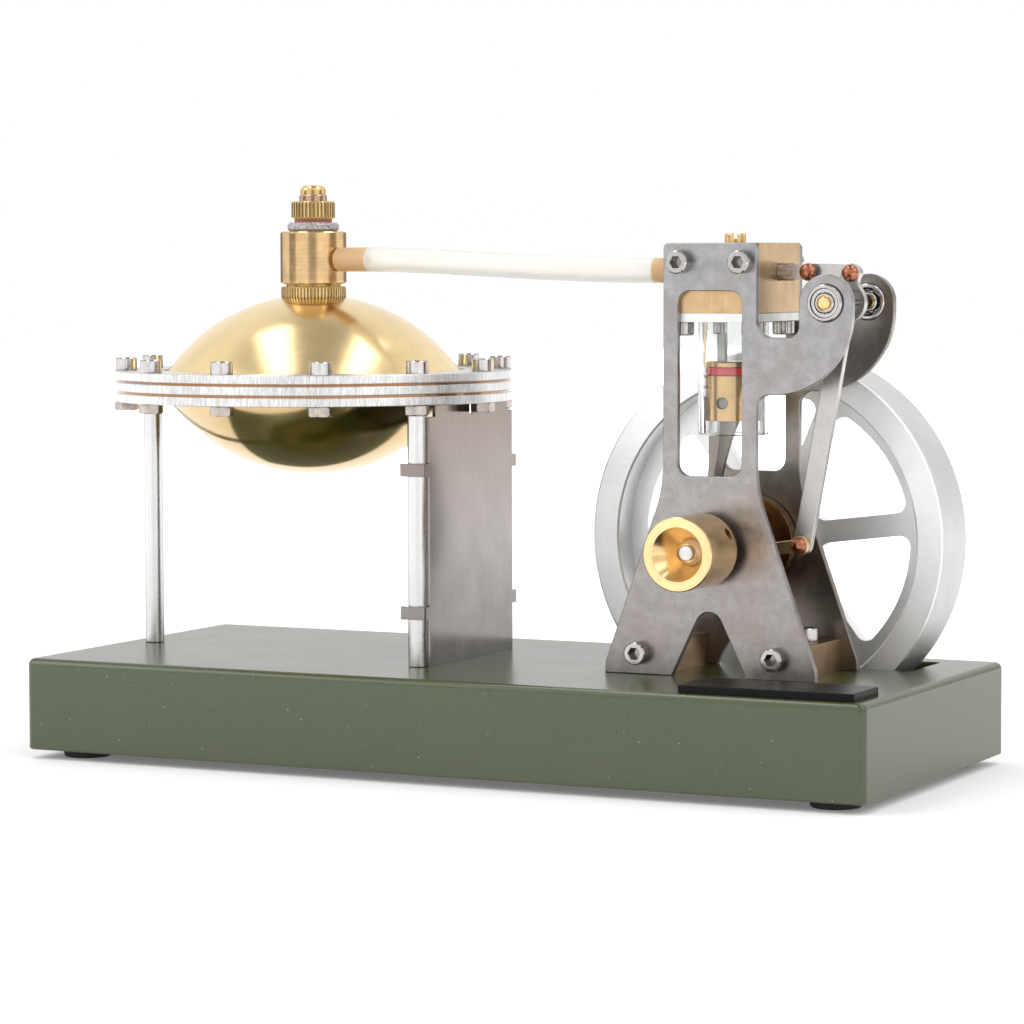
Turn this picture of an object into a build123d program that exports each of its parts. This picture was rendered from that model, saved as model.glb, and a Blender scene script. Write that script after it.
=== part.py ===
"""Model steam engine: riveted-flange boiler on posts, silicone steam tube and a glass-cylinder engine.

Millimetres, +Z up, +X from the boiler towards the engine, -Y is the front with the belt pulley.
The origin lies under the middle of the base, on the table.
"""
from build123d import *
import os
from math import asin, atan2, cos, degrees, hypot, pi, radians, sin, sqrt

os.makedirs("parts", exist_ok=True)

# ---------------------------------------------------------------- driving dimensions
RUNNING_GAP = 0.05          # radial clearance of every running fit
SEAT_GAP = 0.02             # radial clearance of pieces that are bonded or clamped together
EDGE_BREAK = 0.2            # small bevel along the edges of machined and cut pieces

FOOT_HEIGHT = 2.5
BASE_LENGTH = 244.0
BASE_DEPTH = 105.0
BASE_HEIGHT = 25.0
SHEET = 1.5                 # folded sheet of the base
BASE_LIP = 20.0             # returned lip round the open underside
BASE_EDGE_R = 1.9           # rounding of the folded and painted edges
BASE_TOP = FOOT_HEIGHT + BASE_HEIGHT

M3_SHANK_R = 1.5
M3_CLEAR_R = 1.6
M3_HEAD_R = 3.0
M3_HEAD_H = 3.5
HEAD_BEVEL = 0.3
M3_SOCKET_AF = 3.1
M3_SOCKET_DEPTH = 2.2
M3_NUT_AF = 5.7
M3_NUT_H = 2.6
NUT_BEVEL = 0.3

BOILER_X = -60.75           # boiler axis
BOILER_TURN = 1.2           # degrees, the whole boiler stand sits slightly turned on the base
RING_R = 55.0
RING_BORE_R = 42.1
RING_T = 2.4
BOLT_CIRCLE_R = 51.75
BOLT_COUNT = 12
DISH_T = 0.6
DISH_R = 49.6               # spherical radius of each brass dish
DISH_FLANGE_R = 54.8
RING_STACK_Z = 97.25        # underside of the lowest ring
POST_R = 2.65
POST_ANGLES = (180, 30, -30)

BODY_R = 9.2                # round outlet body on top of the boiler
BODY_TURN = -12.5           # direction of the outlet nipple, degrees from +X
BODY_Z = 129.2
BODY_H = 14.4
OUTLET_Z = 135.9
KNURL_BEVEL = 0.35
TUBE_R = 3.3
TUBE_BORE_R = 2.0

ENGINE_X = 65.05            # crank and cylinder centre line
PLATE_T = 2.0
PLATE_GAP = 28.0            # clear distance between the two side plates
PLATE_TOP = 140.1
CRANK_Z = 61.0
THROW = 8.0
ROD_LENGTH = 38.25
SHAFT_R = 2.0
BEARING_R = 4.75
BEARING_W = 3.6
BEARING_STEP = 0.5          # each bearing stands this far into the space between the plates
ECCENTRICITY = 2.5
SHEAVE_R = 10.3
STRAP_R = 12.9

BLOCK_W = 26.0              # valve block, along X
BLOCK_H = 18.2
VALVE_Z = 132.5
INLET_Z = 132.9
SPOOL_R = 2.25
CYLINDER_R = 9.25
CYLINDER_BORE_R = 7.2
CYLINDER_BOTTOM = 90.0
FLANGE_T = 2.3

ROCKER = (32.05, 124.7)      # lever pivot, measured from the engine centre line and the table
LEVER_TOP = (33.45, 132.2)
LEVER_FOOT = (20.35, 61.7)
TANG_PIN = (21.65, VALVE_Z)
RIVET_R = 1.0
RIVET_HEAD_R = 2.3
RIVET_HEAD_H = 1.9

FLYWHEEL_R = 50.6
FLYWHEEL_FRONT = 21.6
FLYWHEEL_W = 18.5
PULLEY_R = 9.55
PULLEY_FRONT = -36.6
PULLEY_W = 16.8

# ---------------------------------------------------------------- derived sizes
plate_in = PLATE_GAP / 2
plate_out = plate_in + PLATE_T
dish_low_z = RING_STACK_Z + RING_T
dish_high_z = dish_low_z + DISH_T + RING_T
stack_top = dish_high_z + DISH_T + RING_T
middle_z = (RING_STACK_Z + stack_top) / 2
dome_top = 126.2
dome_centre = dome_top - DISH_R
nut_z = RING_STACK_Z - M3_NUT_H
block_bottom = PLATE_TOP - BLOCK_H
flange_bottom = block_bottom - FLANGE_T
wrist_z = CRANK_Z + sqrt(ROD_LENGTH**2 - THROW**2)
body_top = BODY_Z + BODY_H
bearing_front = plate_in - BEARING_STEP
bearing_back = bearing_front + BEARING_W


# ---------------------------------------------------------------- planes and repeated shapes
def boiler_plane(z):
    """Horizontal plane at height z on the boiler axis, turned with the boiler stand."""
    turn = radians(BOILER_TURN)
    return Plane(origin=(BOILER_X, 0, z), x_dir=(cos(turn), sin(turn), 0), z_dir=(0, 0, 1))


def engine_plane(y, centre=(0, 0)):
    """Upright plane at depth y: local x from the engine centre line, local y is the height."""
    return Plane(origin=(ENGINE_X + centre[0], y, centre[1]), x_dir=(1, 0, 0), z_dir=(0, -1, 0))


def rim_points(angles, radius):
    """Points on the boiler's bolt circle."""
    return [(radius * cos(radians(a)), radius * sin(radians(a))) for a in angles]


def tube(plane, outer, inner, length):
    """Ring section pushed along the plane's normal, added to the part under construction."""
    with BuildSketch(plane) as section:
        Circle(outer)
        if inner:
            Circle(inner, mode=Mode.SUBTRACT)
    extrude(section.sketch, amount=length)


def bore(plane, radius, depth):
    """Round hole cut along the plane's normal."""
    with BuildSketch(plane) as section:
        Circle(radius)
    extrude(section.sketch, amount=depth, mode=Mode.SUBTRACT)


def bevelled_disc(plane, radius, height, bevel):
    """Disc with both rims bevelled, used to round off the ends of hexagons and knurls."""
    with BuildPart() as disc:
        tube(plane, radius, 0, height)
        chamfer(disc.edges().filter_by(GeomType.CIRCLE), bevel)
    return disc.part


def cap_screw(shank):
    """M3 socket head cap screw, head up, underside of the head at the origin."""
    with BuildPart() as screw:
        tube(Plane.XY, M3_SHANK_R, 0, -shank)
        tube(Plane.XY, M3_HEAD_R, 0, M3_HEAD_H)
        chamfer(screw.edges().filter_by(GeomType.CIRCLE).group_by(Axis.Z)[-1], HEAD_BEVEL)
        with BuildSketch(Plane.XY.offset(M3_HEAD_H)):
            RegularPolygon(M3_SOCKET_AF / 2, 6, major_radius=False)
        extrude(amount=-M3_SOCKET_DEPTH, mode=Mode.SUBTRACT)
    return screw.part


def hex_nut():
    """M3 hexagon nut standing on the origin, with bevelled corners."""
    corner_r = M3_NUT_AF / 2 / cos(radians(30))
    with BuildPart() as nut:
        with BuildSketch():
            RegularPolygon(M3_NUT_AF / 2, 6, major_radius=False)
        extrude(amount=M3_NUT_H)
        add(bevelled_disc(Plane.XY, corner_r, M3_NUT_H, NUT_BEVEL), mode=Mode.INTERSECT)
        bore(Plane.XY, M3_SHANK_R + SEAT_GAP, M3_NUT_H)
    return nut.part


def rivet_head():
    """Domed rivet head standing on the origin."""
    ball_r = (RIVET_HEAD_R**2 + RIVET_HEAD_H**2) / (2 * RIVET_HEAD_H)
    with BuildPart() as head:
        tube(Plane.XY, RIVET_HEAD_R + 1, 0, RIVET_HEAD_H)
        with Locations((0, 0, RIVET_HEAD_H - ball_r)):
            Sphere(ball_r, mode=Mode.INTERSECT)
    return head.part


def facing_front(y, centre):
    """Location on the engine, turned so that a piece drawn along +Z points to the front."""
    return Location((ENGINE_X + centre[0], y, centre[1]), (90, 0, 0))


def knurled(plane, radius, teeth, height):
    """Knurled collar: a bevelled disc with straight flutes round its rim."""
    flute_r = 0.6 * pi * radius / teeth
    with BuildPart() as collar:
        with BuildSketch(plane) as section:
            Circle(radius)
            with PolarLocations(radius - flute_r / 2, teeth):
                Circle(flute_r, mode=Mode.SUBTRACT)
        extrude(section.sketch, amount=height)
        add(bevelled_disc(plane, radius, height, KNURL_BEVEL), mode=Mode.INTERSECT)
    return collar.part


def link_bar(start, end, width):
    """Round-ended bar between two points of a sketch."""
    run = (end[0] - start[0], end[1] - start[1])
    with Locations(((start[0] + end[0]) / 2, (start[1] + end[1]) / 2)):
        SlotCenterToCenter(hypot(*run), width, rotation=degrees(atan2(run[1], run[0])))


# ---------------------------------------------------------------- base
FOOT_POINTS = [(sx * 110.0, sy * 40.5) for sx in (-1, 1) for sy in (-1, 1)]
FOOT_R = 6.5
PLUG_R = 2.0                # stem of each rubber foot, pressed through the lip
PLUG_BEAD = 1.0             # the bead above the lip is this much wider than the stem
LIP_CORNER_R = 6.0
SLOT_CENTRE = (65.25, 31.5)
SLOT_SIZE = (84.5, 24.0)    # opening in the deck for the flywheel
SLOT_CORNER_R = 1.5
BLOCK_SCREW_X = 19.2
BLOCK_SCREW_Y = 4.5
post_points = rim_points(POST_ANGLES, BOLT_CIRCLE_R)
block_screw_points = [(sx * BLOCK_SCREW_X, sy * BLOCK_SCREW_Y) for sx in (-1, 1) for sy in (-1, 1)]

with BuildPart() as base_box:
    with BuildSketch(Plane.XY.offset(FOOT_HEIGHT)):
        RectangleRounded(BASE_LENGTH, BASE_DEPTH, BASE_EDGE_R + 0.1)
    extrude(amount=BASE_HEIGHT)
    fillet(base_box.faces().sort_by(Axis.Z)[-1].edges(), BASE_EDGE_R)
    chamfer(base_box.faces().sort_by(Axis.Z)[0].edges(), 2 * EDGE_BREAK)
    with BuildSketch(Plane.XY.offset(FOOT_HEIGHT + SHEET)):
        Rectangle(BASE_LENGTH - 2 * SHEET, BASE_DEPTH - 2 * SHEET)
    extrude(amount=BASE_HEIGHT - 2 * SHEET, mode=Mode.SUBTRACT)
    with BuildSketch(Plane.XY.offset(FOOT_HEIGHT)):
        RectangleRounded(BASE_LENGTH - 2 * BASE_LIP, BASE_DEPTH - 2 * BASE_LIP, LIP_CORNER_R)
        with Locations(*FOOT_POINTS):
            Circle(PLUG_R + SEAT_GAP)
    extrude(amount=SHEET, mode=Mode.SUBTRACT)
    with BuildSketch(Plane.XY.offset(BASE_TOP)):
        with Locations(SLOT_CENTRE):
            RectangleRounded(*SLOT_SIZE, SLOT_CORNER_R)
        with Locations((ENGINE_X, 0)):
            with Locations(*block_screw_points):
                Circle(M3_SHANK_R + SEAT_GAP)
    extrude(amount=-SHEET, mode=Mode.SUBTRACT)
    with BuildSketch(boiler_plane(BASE_TOP)):
        with Locations(*post_points):
            Circle(M3_CLEAR_R)
    extrude(amount=-SHEET, mode=Mode.SUBTRACT)
base_box.part.label = "base_box"
export_step(base_box.part, "parts/base_box.step")

with BuildPart() as rubber_feet:
    with BuildSketch():
        with Locations(*FOOT_POINTS):
            Circle(FOOT_R)
    extrude(amount=FOOT_HEIGHT)
    chamfer(rubber_feet.faces().sort_by(Axis.Z)[:4].edges(), 2 * EDGE_BREAK)
    with BuildSketch(Plane.XY.offset(FOOT_HEIGHT)):
        with Locations(*FOOT_POINTS):
            Circle(PLUG_R)
    extrude(amount=SHEET)
    with BuildSketch(Plane.XY.offset(FOOT_HEIGHT + SHEET)):
        with Locations(*FOOT_POINTS):
            Circle(PLUG_R + PLUG_BEAD)
    extrude(amount=PLUG_BEAD)
rubber_feet.part.label = "rubber_feet"
export_step(rubber_feet.part, "parts/rubber_feet.step")

NAMEPLATE_CENTRE = (94.3, -40.5)
NAMEPLATE_SIZE = (47.3, 19.0)
NAMEPLATE_T = 2.0
NAMEPLATE_CORNER_R = 1.5

with BuildPart() as nameplate:
    with BuildSketch(Plane.XY.offset(BASE_TOP)):
        with Locations(NAMEPLATE_CENTRE):
            RectangleRounded(*NAMEPLATE_SIZE, NAMEPLATE_CORNER_R)
    extrude(amount=NAMEPLATE_T)
    fillet(nameplate.faces().sort_by(Axis.Z)[-1].edges(), 2 * EDGE_BREAK)
nameplate.part.label = "nameplate"
export_step(nameplate.part, "parts/nameplate.step")

# ---------------------------------------------------------------- boiler stand
THREAD_DEPTH = 6.0

with BuildPart() as boiler_posts:
    with BuildSketch(boiler_plane(BASE_TOP)):
        with Locations(*post_points):
            Circle(POST_R)
    extrude(amount=nut_z - BASE_TOP)
    chamfer(boiler_posts.edges().filter_by(GeomType.CIRCLE), EDGE_BREAK)
    for end, way in ((BASE_TOP, 1), (nut_z, -1)):
        with BuildSketch(boiler_plane(end)):
            with Locations(*post_points):
                Circle(M3_SHANK_R + SEAT_GAP)
        extrude(amount=way * THREAD_DEPTH, mode=Mode.SUBTRACT)
boiler_posts.part.label = "boiler_posts"
export_step(boiler_posts.part, "parts/boiler_posts.step")

short_screw = cap_screw(SHEET + 5.0)
with BuildPart() as post_screws:
    for x, y in post_points:
        seat = boiler_plane(BASE_TOP - SHEET) * Location((x, y, 0), (180, 0, 0))
        with Locations(seat):
            add(short_screw)
post_screws.part.label = "post_screws"
export_step(post_screws.part, "parts/post_screws.step")

SHIELD_T = 0.9
SHIELD_HALF = 25.8
TAB_H = 3.4
TAB_HEIGHTS = (40.3, 78.4)
TAB_HOOK = 1.2              # the end of each tab hooks back behind the post by this much
BEND_IN_R = 0.35
BEND_OUT_R = BEND_IN_R + SHIELD_T
NOTCH_W = 7.2               # room for the nut on each post
NOTCH_DEPTH = 3.0
MIDDLE_NOTCH_W = 2.6
post_x, post_y = post_points[1]
shield_x = post_x + POST_R + RUNNING_GAP
tab_in = post_y + POST_R + RUNNING_GAP
tab_out = tab_in + SHIELD_T
tab_end = post_x - POST_R - SHIELD_T - 0.35
shield_top = RING_STACK_Z - 0.1

with BuildPart() as heat_shield:
    with BuildSketch(boiler_plane(BASE_TOP)):
        with Locations((shield_x, 0)):
            Rectangle(SHIELD_T, 2 * SHIELD_HALF, align=(Align.MIN, Align.CENTER))
    extrude(amount=shield_top - BASE_TOP)
    with BuildSketch(boiler_plane(shield_top)):
        for side in (-1, 1):
            with Locations((shield_x, side * post_y)):
                Rectangle(2 * SHIELD_T + 1, NOTCH_W)
        with Locations((shield_x, 0)):
            Rectangle(2 * SHIELD_T + 1, MIDDLE_NOTCH_W)
    extrude(amount=-NOTCH_DEPTH, mode=Mode.SUBTRACT)
    for tab_z in TAB_HEIGHTS:
        for side in (-1, 1):
            with BuildSketch(boiler_plane(tab_z)) as tab:
                with BuildLine():
                    Polyline(
                        (shield_x + SHIELD_T, side * (SHIELD_HALF - 1)),
                        (shield_x + SHIELD_T, side * tab_out),
                        (tab_end, side * tab_out),
                        (tab_end, side * (tab_in - TAB_HOOK)),
                        (tab_end + SHIELD_T, side * (tab_in - TAB_HOOK)),
                        (tab_end + SHIELD_T, side * tab_in),
                        (shield_x, side * tab_in),
                        (shield_x, side * (SHIELD_HALF - 1)),
                        close=True,
                    )
                make_face()
                for corner, radius in (
                    ((shield_x + SHIELD_T, side * tab_out), BEND_OUT_R),
                    ((tab_end, side * tab_out), BEND_OUT_R),
                    ((tab_end + SHIELD_T, side * tab_in), BEND_IN_R),
                    ((shield_x, side * tab_in), BEND_IN_R),
                ):
                    fillet(tab.vertices().sort_by_distance(corner)[0], radius)
            extrude(amount=TAB_H)
heat_shield.part.label = "heat_shield"
export_step(heat_shield.part, "parts/heat_shield.step")

# ---------------------------------------------------------------- boiler shell
RING_STACK_H = stack_top - RING_STACK_Z
POST_BOLT_ANGLES = [angle % 360 for angle in POST_ANGLES]
bolt_angles = [i * 360 / BOLT_COUNT for i in range(BOLT_COUNT)]
bolt_points = rim_points(bolt_angles, BOLT_CIRCLE_R)


def flange_ring(z):
    """Flat aluminium clamping ring with the bolt holes, standing at height z."""
    with BuildPart() as ring:
        with BuildSketch(boiler_plane(z)):
            Circle(RING_R)
            Circle(RING_BORE_R, mode=Mode.SUBTRACT)
            with Locations(*bolt_points):
                Circle(M3_CLEAR_R, mode=Mode.SUBTRACT)
        extrude(amount=RING_T)
        rims = ring.edges().filter_by(GeomType.CIRCLE).sort_by(SortBy.RADIUS)[-4:]
        chamfer(rims, EDGE_BREAK)
    return ring.part


def dome_arc(centre_z, radius, up, end):
    """Arc of a dish's half section, from the axis to its end on the flange."""
    halfway = radians(22)
    middle = (radius * sin(halfway), centre_z + up * radius * cos(halfway))
    ThreePointArc((0, centre_z + up * radius), middle, end)


def dish(up, hole):
    """Brass dish: a spherical cap with a flat bolted flange. up is 1 for the dome, -1 for the bottom."""
    flange_z = dish_high_z if up > 0 else dish_low_z + DISH_T
    centre_z = dome_centre if up > 0 else 2 * middle_z - dome_centre
    outer_face = flange_z + up * DISH_T
    rise_out = abs(outer_face - centre_z)
    rise_in = abs(flange_z - centre_z)
    inner_r = DISH_R - DISH_T
    lip_out = sqrt(DISH_R**2 - rise_out**2)
    lip_in = sqrt(inner_r**2 - rise_in**2)
    with BuildPart() as shell:
        with BuildSketch(Plane(origin=(BOILER_X, 0, 0), x_dir=(1, 0, 0), z_dir=(0, -1, 0))):
            with BuildLine():
                Line((0, centre_z + up * inner_r), (0, centre_z + up * DISH_R))
                dome_arc(centre_z, DISH_R, up, (lip_out, outer_face))
                Line((lip_out, outer_face), (DISH_FLANGE_R, outer_face))
                Line((DISH_FLANGE_R, outer_face), (DISH_FLANGE_R, flange_z))
                Line((DISH_FLANGE_R, flange_z), (lip_in, flange_z))
                dome_arc(centre_z, inner_r, up, (lip_in, flange_z))
            make_face()
        revolve(axis=Axis((BOILER_X, 0, 0), (0, 0, 1)))
        with BuildSketch(boiler_plane(middle_z)):
            with Locations(*bolt_points):
                Circle(M3_CLEAR_R)
        extrude(amount=up * RING_STACK_H, mode=Mode.SUBTRACT)
        if hole:
            bore(boiler_plane(middle_z), hole, 2 * DISH_R)
    return shell.part


lower_ring_part = flange_ring(RING_STACK_Z)
with BuildPart() as lower_ring:
    add(lower_ring_part)
lower_ring.part.label = "lower_ring"
export_step(lower_ring.part, "parts/lower_ring.step")

middle_ring_part = flange_ring(dish_low_z + DISH_T)
with BuildPart() as middle_ring:
    add(middle_ring_part)
middle_ring.part.label = "middle_ring"
export_step(middle_ring.part, "parts/middle_ring.step")

upper_ring_part = flange_ring(dish_high_z + DISH_T)
with BuildPart() as upper_ring:
    add(upper_ring_part)
upper_ring.part.label = "upper_ring"
export_step(upper_ring.part, "parts/upper_ring.step")

BUSH_STEM_R = 4.4
lower_dish_part = dish(-1, 0)
with BuildPart() as lower_dish:
    add(lower_dish_part)
lower_dish.part.label = "lower_dish"
export_step(lower_dish.part, "parts/lower_dish.step")

upper_dish_part = dish(1, BUSH_STEM_R + SEAT_GAP)
with BuildPart() as upper_dish:
    add(upper_dish_part)
upper_dish.part.label = "upper_dish"
export_step(upper_dish.part, "parts/upper_dish.step")

BOLT_SHY = 0.3              # each bolt ends this far inside its nut
post_bolt_reach = THREAD_DEPTH - 1.0
ring_bolt = cap_screw(stack_top - nut_z - BOLT_SHY)
post_bolt = cap_screw(stack_top - nut_z + post_bolt_reach)
with BuildPart() as ring_bolts:
    for angle, (x, y) in zip(bolt_angles, bolt_points):
        with Locations(boiler_plane(stack_top) * Location((x, y, 0), (0, 0, angle))):
            add(post_bolt if angle in POST_BOLT_ANGLES else ring_bolt)
ring_bolts.part.label = "ring_bolts"
export_step(ring_bolts.part, "parts/ring_bolts.step")

NUT_TURN = 26.0             # the nuts were left nearly in line with each other
ring_nut = hex_nut()
with BuildPart() as ring_nuts:
    for angle, (x, y) in zip(bolt_angles, bolt_points):
        with Locations(boiler_plane(nut_z) * Location((x, y, 0), (0, 0, NUT_TURN + angle / 20))):
            add(ring_nut)
ring_nuts.part.label = "ring_nuts"
export_step(ring_nuts.part, "parts/ring_nuts.step")

# ---------------------------------------------------------------- outlet and safety valve
SOLDER_RING_R = 9.0
SOLDER_RING_H = 4.0
SOLDER_RING_TEETH = 60
NECK_R = 7.6
NECK_H = 0.6
BUSH_BOTTOM = 123.5
BUSH_TOP = 135.0
BUSH_BORE_R = 2.2
PLUG_STEM_R = 3.25
PLUG_STEM_BOTTOM = 138.0
STEAM_WAY_R = 2.6
BODY_BEVEL = 0.35
WASHER_R = 7.15
WASHER_H = 2.5
WASHER_BEVEL = 0.7
FIBRE_R = 5.2
FIBRE_H = 1.0
KNOB_R = 6.05
KNOB_H = 4.8
KNOB_TEETH = 36
COLLAR_R = 3.85
COLLAR_H = 1.8
VALVE_BORE_R = 2.3
VALVE_SHOULDER = 150.5
SEAT_H = 1.5
SEAT_BORE_R = 1.0
STEM_R = 1.3
NUB_R = 3.5
NUB_H = 2.6
NUB_DOME_R = 1.4
solder_z = BODY_Z - NECK_H - SOLDER_RING_H
washer_top = body_top + WASHER_H
knob_z = washer_top + FIBRE_H
collar_z = knob_z + KNOB_H
nub_z = collar_z + COLLAR_H

with BuildPart() as boiler_bush:
    add(knurled(boiler_plane(solder_z), SOLDER_RING_R, SOLDER_RING_TEETH, SOLDER_RING_H))
    tube(boiler_plane(solder_z + SOLDER_RING_H), NECK_R, 0, NECK_H)
    tube(boiler_plane(BODY_Z), BUSH_STEM_R, 0, BUSH_TOP - BODY_Z)
    with Locations((BOILER_X, 0, dome_centre)):
        Sphere(DISH_R, mode=Mode.SUBTRACT)
    tube(boiler_plane(BUSH_BOTTOM), BUSH_STEM_R, 0, BODY_Z - BUSH_BOTTOM)
    bore(boiler_plane(BUSH_BOTTOM), BUSH_BORE_R, BUSH_TOP - BUSH_BOTTOM)
boiler_bush.part.label = "boiler_bush"
export_step(boiler_bush.part, "parts/boiler_bush.step")

outlet_way = (cos(radians(BODY_TURN)), sin(radians(BODY_TURN)), 0)


def outlet_plane(distance):
    """Plane across the outlet nipple, at a distance from the boiler axis."""
    start = (BOILER_X + distance * outlet_way[0], distance * outlet_way[1], OUTLET_Z)
    return Plane(origin=start, x_dir=(0, 0, 1), z_dir=outlet_way)


NIPPLE_R = TUBE_BORE_R - SEAT_GAP
NIPPLE_BORE_R = 1.2

with BuildPart() as outlet_body:
    add(bevelled_disc(boiler_plane(BODY_Z), BODY_R, BODY_H, BODY_BEVEL))
    bore(boiler_plane(BODY_Z), BUSH_STEM_R + SEAT_GAP, BUSH_TOP - BODY_Z)
    bore(boiler_plane(BUSH_TOP), STEAM_WAY_R, BODY_H)
    bore(boiler_plane(PLUG_STEM_BOTTOM - 0.4), PLUG_STEM_R + RUNNING_GAP, BODY_H)
    bore(outlet_plane(0), NIPPLE_R + SEAT_GAP, 2 * BODY_R)
outlet_body.part.label = "outlet_body"
export_step(outlet_body.part, "parts/outlet_body.step")

NIPPLE_START = 4.6          # distance of its inner end from the boiler axis
NIPPLE_LENGTH = 15.6
with BuildPart() as outlet_nipple:
    tube(outlet_plane(NIPPLE_START), NIPPLE_R, NIPPLE_BORE_R, NIPPLE_LENGTH)
outlet_nipple.part.label = "outlet_nipple"
export_step(outlet_nipple.part, "parts/outlet_nipple.step")

with BuildPart() as body_washer:
    tube(boiler_plane(body_top), WASHER_R, PLUG_STEM_R + RUNNING_GAP, WASHER_H)
    washer_rims = body_washer.edges().filter_by(GeomType.CIRCLE).sort_by(SortBy.RADIUS)[-2:]
    chamfer(washer_rims, WASHER_BEVEL)
body_washer.part.label = "body_washer"
export_step(body_washer.part, "parts/body_washer.step")

with BuildPart() as fibre_ring:
    tube(boiler_plane(washer_top), FIBRE_R, PLUG_STEM_R + RUNNING_GAP, FIBRE_H)
fibre_ring.part.label = "fibre_ring"
export_step(fibre_ring.part, "parts/fibre_ring.step")

with BuildPart() as filler_plug:
    add(knurled(boiler_plane(knob_z), KNOB_R, KNOB_TEETH, KNOB_H))
    tube(boiler_plane(PLUG_STEM_BOTTOM), PLUG_STEM_R, 0, knob_z - PLUG_STEM_BOTTOM)
    tube(boiler_plane(collar_z), COLLAR_R, 0, COLLAR_H)
    chamfer(filler_plug.edges().group_by(Axis.Z)[-1], EDGE_BREAK)
    bore(boiler_plane(PLUG_STEM_BOTTOM), VALVE_BORE_R, VALVE_SHOULDER - PLUG_STEM_BOTTOM)
    bore(boiler_plane(VALVE_SHOULDER), STEM_R + RUNNING_GAP, nub_z - VALVE_SHOULDER)
filler_plug.part.label = "filler_plug"
export_step(filler_plug.part, "parts/filler_plug.step")

with BuildPart() as valve_seat:
    tube(boiler_plane(PLUG_STEM_BOTTOM), VALVE_BORE_R - SEAT_GAP, SEAT_BORE_R, SEAT_H)
valve_seat.part.label = "valve_seat"
export_step(valve_seat.part, "parts/valve_seat.step")

valve_disc_z = PLUG_STEM_BOTTOM + SEAT_H
VALVE_DISC_H = 1.5
with BuildPart() as safety_valve_stem:
    tube(boiler_plane(valve_disc_z), VALVE_BORE_R - RUNNING_GAP, 0, VALVE_DISC_H)
    tube(boiler_plane(valve_disc_z + VALVE_DISC_H), STEM_R, 0, nub_z - valve_disc_z - VALVE_DISC_H)
    tube(boiler_plane(nub_z), NUB_R, 0, NUB_H)
    fillet(safety_valve_stem.edges().group_by(Axis.Z)[-1], NUB_DOME_R)
safety_valve_stem.part.label = "safety_valve_stem"
export_step(safety_valve_stem.part, "parts/safety_valve_stem.step")

SPRING_WIRE_R = 0.2
SPRING_COIL_R = 1.8
SPRING_TURNS = 7
spring_bottom = valve_disc_z + VALVE_DISC_H + SPRING_WIRE_R + SEAT_GAP
spring_height = VALVE_SHOULDER - SPRING_WIRE_R - SEAT_GAP - spring_bottom
with BuildPart() as safety_spring:
    with BuildLine(Plane(origin=(BOILER_X, 0, spring_bottom))):
        coil = Helix(pitch=spring_height / SPRING_TURNS, height=spring_height, radius=SPRING_COIL_R)
    with BuildSketch(Plane(origin=coil @ 0, z_dir=coil % 0)):
        Circle(SPRING_WIRE_R)
    sweep(is_frenet=True)
safety_spring.part.label = "safety_spring"
export_step(safety_spring.part, "parts/safety_spring.step")

# ---------------------------------------------------------------- steam tube
TUBE_START = BODY_R + 0.7
NIPPLE_REACH = 9.6         # engine nipple outside the valve block
NIPPLE_SEAT = 4.0           # and inside it
block_left = ENGINE_X - BLOCK_W / 2
tube_near = outlet_plane(TUBE_START).origin
tube_bend_near = outlet_plane(NIPPLE_START + NIPPLE_LENGTH + 0.1).origin
tube_bend_far = Vector(block_left - NIPPLE_REACH - 0.5, 0, INLET_Z)
tube_far = Vector(block_left - 0.05, 0, INLET_Z)

with BuildPart() as steam_tube:
    with BuildLine() as tube_path:
        Line(tube_near, tube_bend_near)
        Spline(tube_bend_near, tube_bend_far, tangents=(outlet_way, (1, 0, 0)))
        Line(tube_bend_far, tube_far)
    with BuildSketch(outlet_plane(TUBE_START)):
        Circle(TUBE_R)
        Circle(TUBE_BORE_R, mode=Mode.SUBTRACT)
    sweep(path=tube_path.wires()[0])
steam_tube.part.label = "steam_tube"
export_step(steam_tube.part, "parts/steam_tube.step")

inlet_face = Plane(origin=(block_left + NIPPLE_SEAT, 0, INLET_Z), x_dir=(0, 1, 0), z_dir=(-1, 0, 0))

with BuildPart() as engine_nipple:
    tube(inlet_face, NIPPLE_R, NIPPLE_BORE_R, NIPPLE_REACH + NIPPLE_SEAT)
engine_nipple.part.label = "engine_nipple"
export_step(engine_nipple.part, "parts/engine_nipple.step")

# ---------------------------------------------------------------- engine side plates
TOWER_HALF = 13.0
LEG_OUT = 29.7
LEG_IN = 10.6
LEG_VERTEX = 49.2           # height where the two inner leg edges would meet
LEG_CORNER = 30.5
SHOULDER_Z = 76.8           # height where the slanted leg meets the upright tower
EAR_R = 7.3
EAR_FLOOR = 115.8
EAR_WEB_BOTTOM = 101.1
EAR_ARC_R = 21.2
EAR_FILLET_R = 3.0
WINDOW_BOTTOM = 79.8
WINDOW_TOP = 127.7
WINDOW_W = 18.0
UPPER_SCREWS = [(-8.0, 135.1), (9.2, 135.1)]
LOWER_SCREWS = [(-19.8, 33.1), (18.6, 33.1)]
ear_left = ROCKER[0] - EAR_R
ear_right = ROCKER[0] + EAR_R
ear_arc_x = ear_right - EAR_ARC_R
ear_arc_z = EAR_WEB_BOTTOM + EAR_ARC_R


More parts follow.
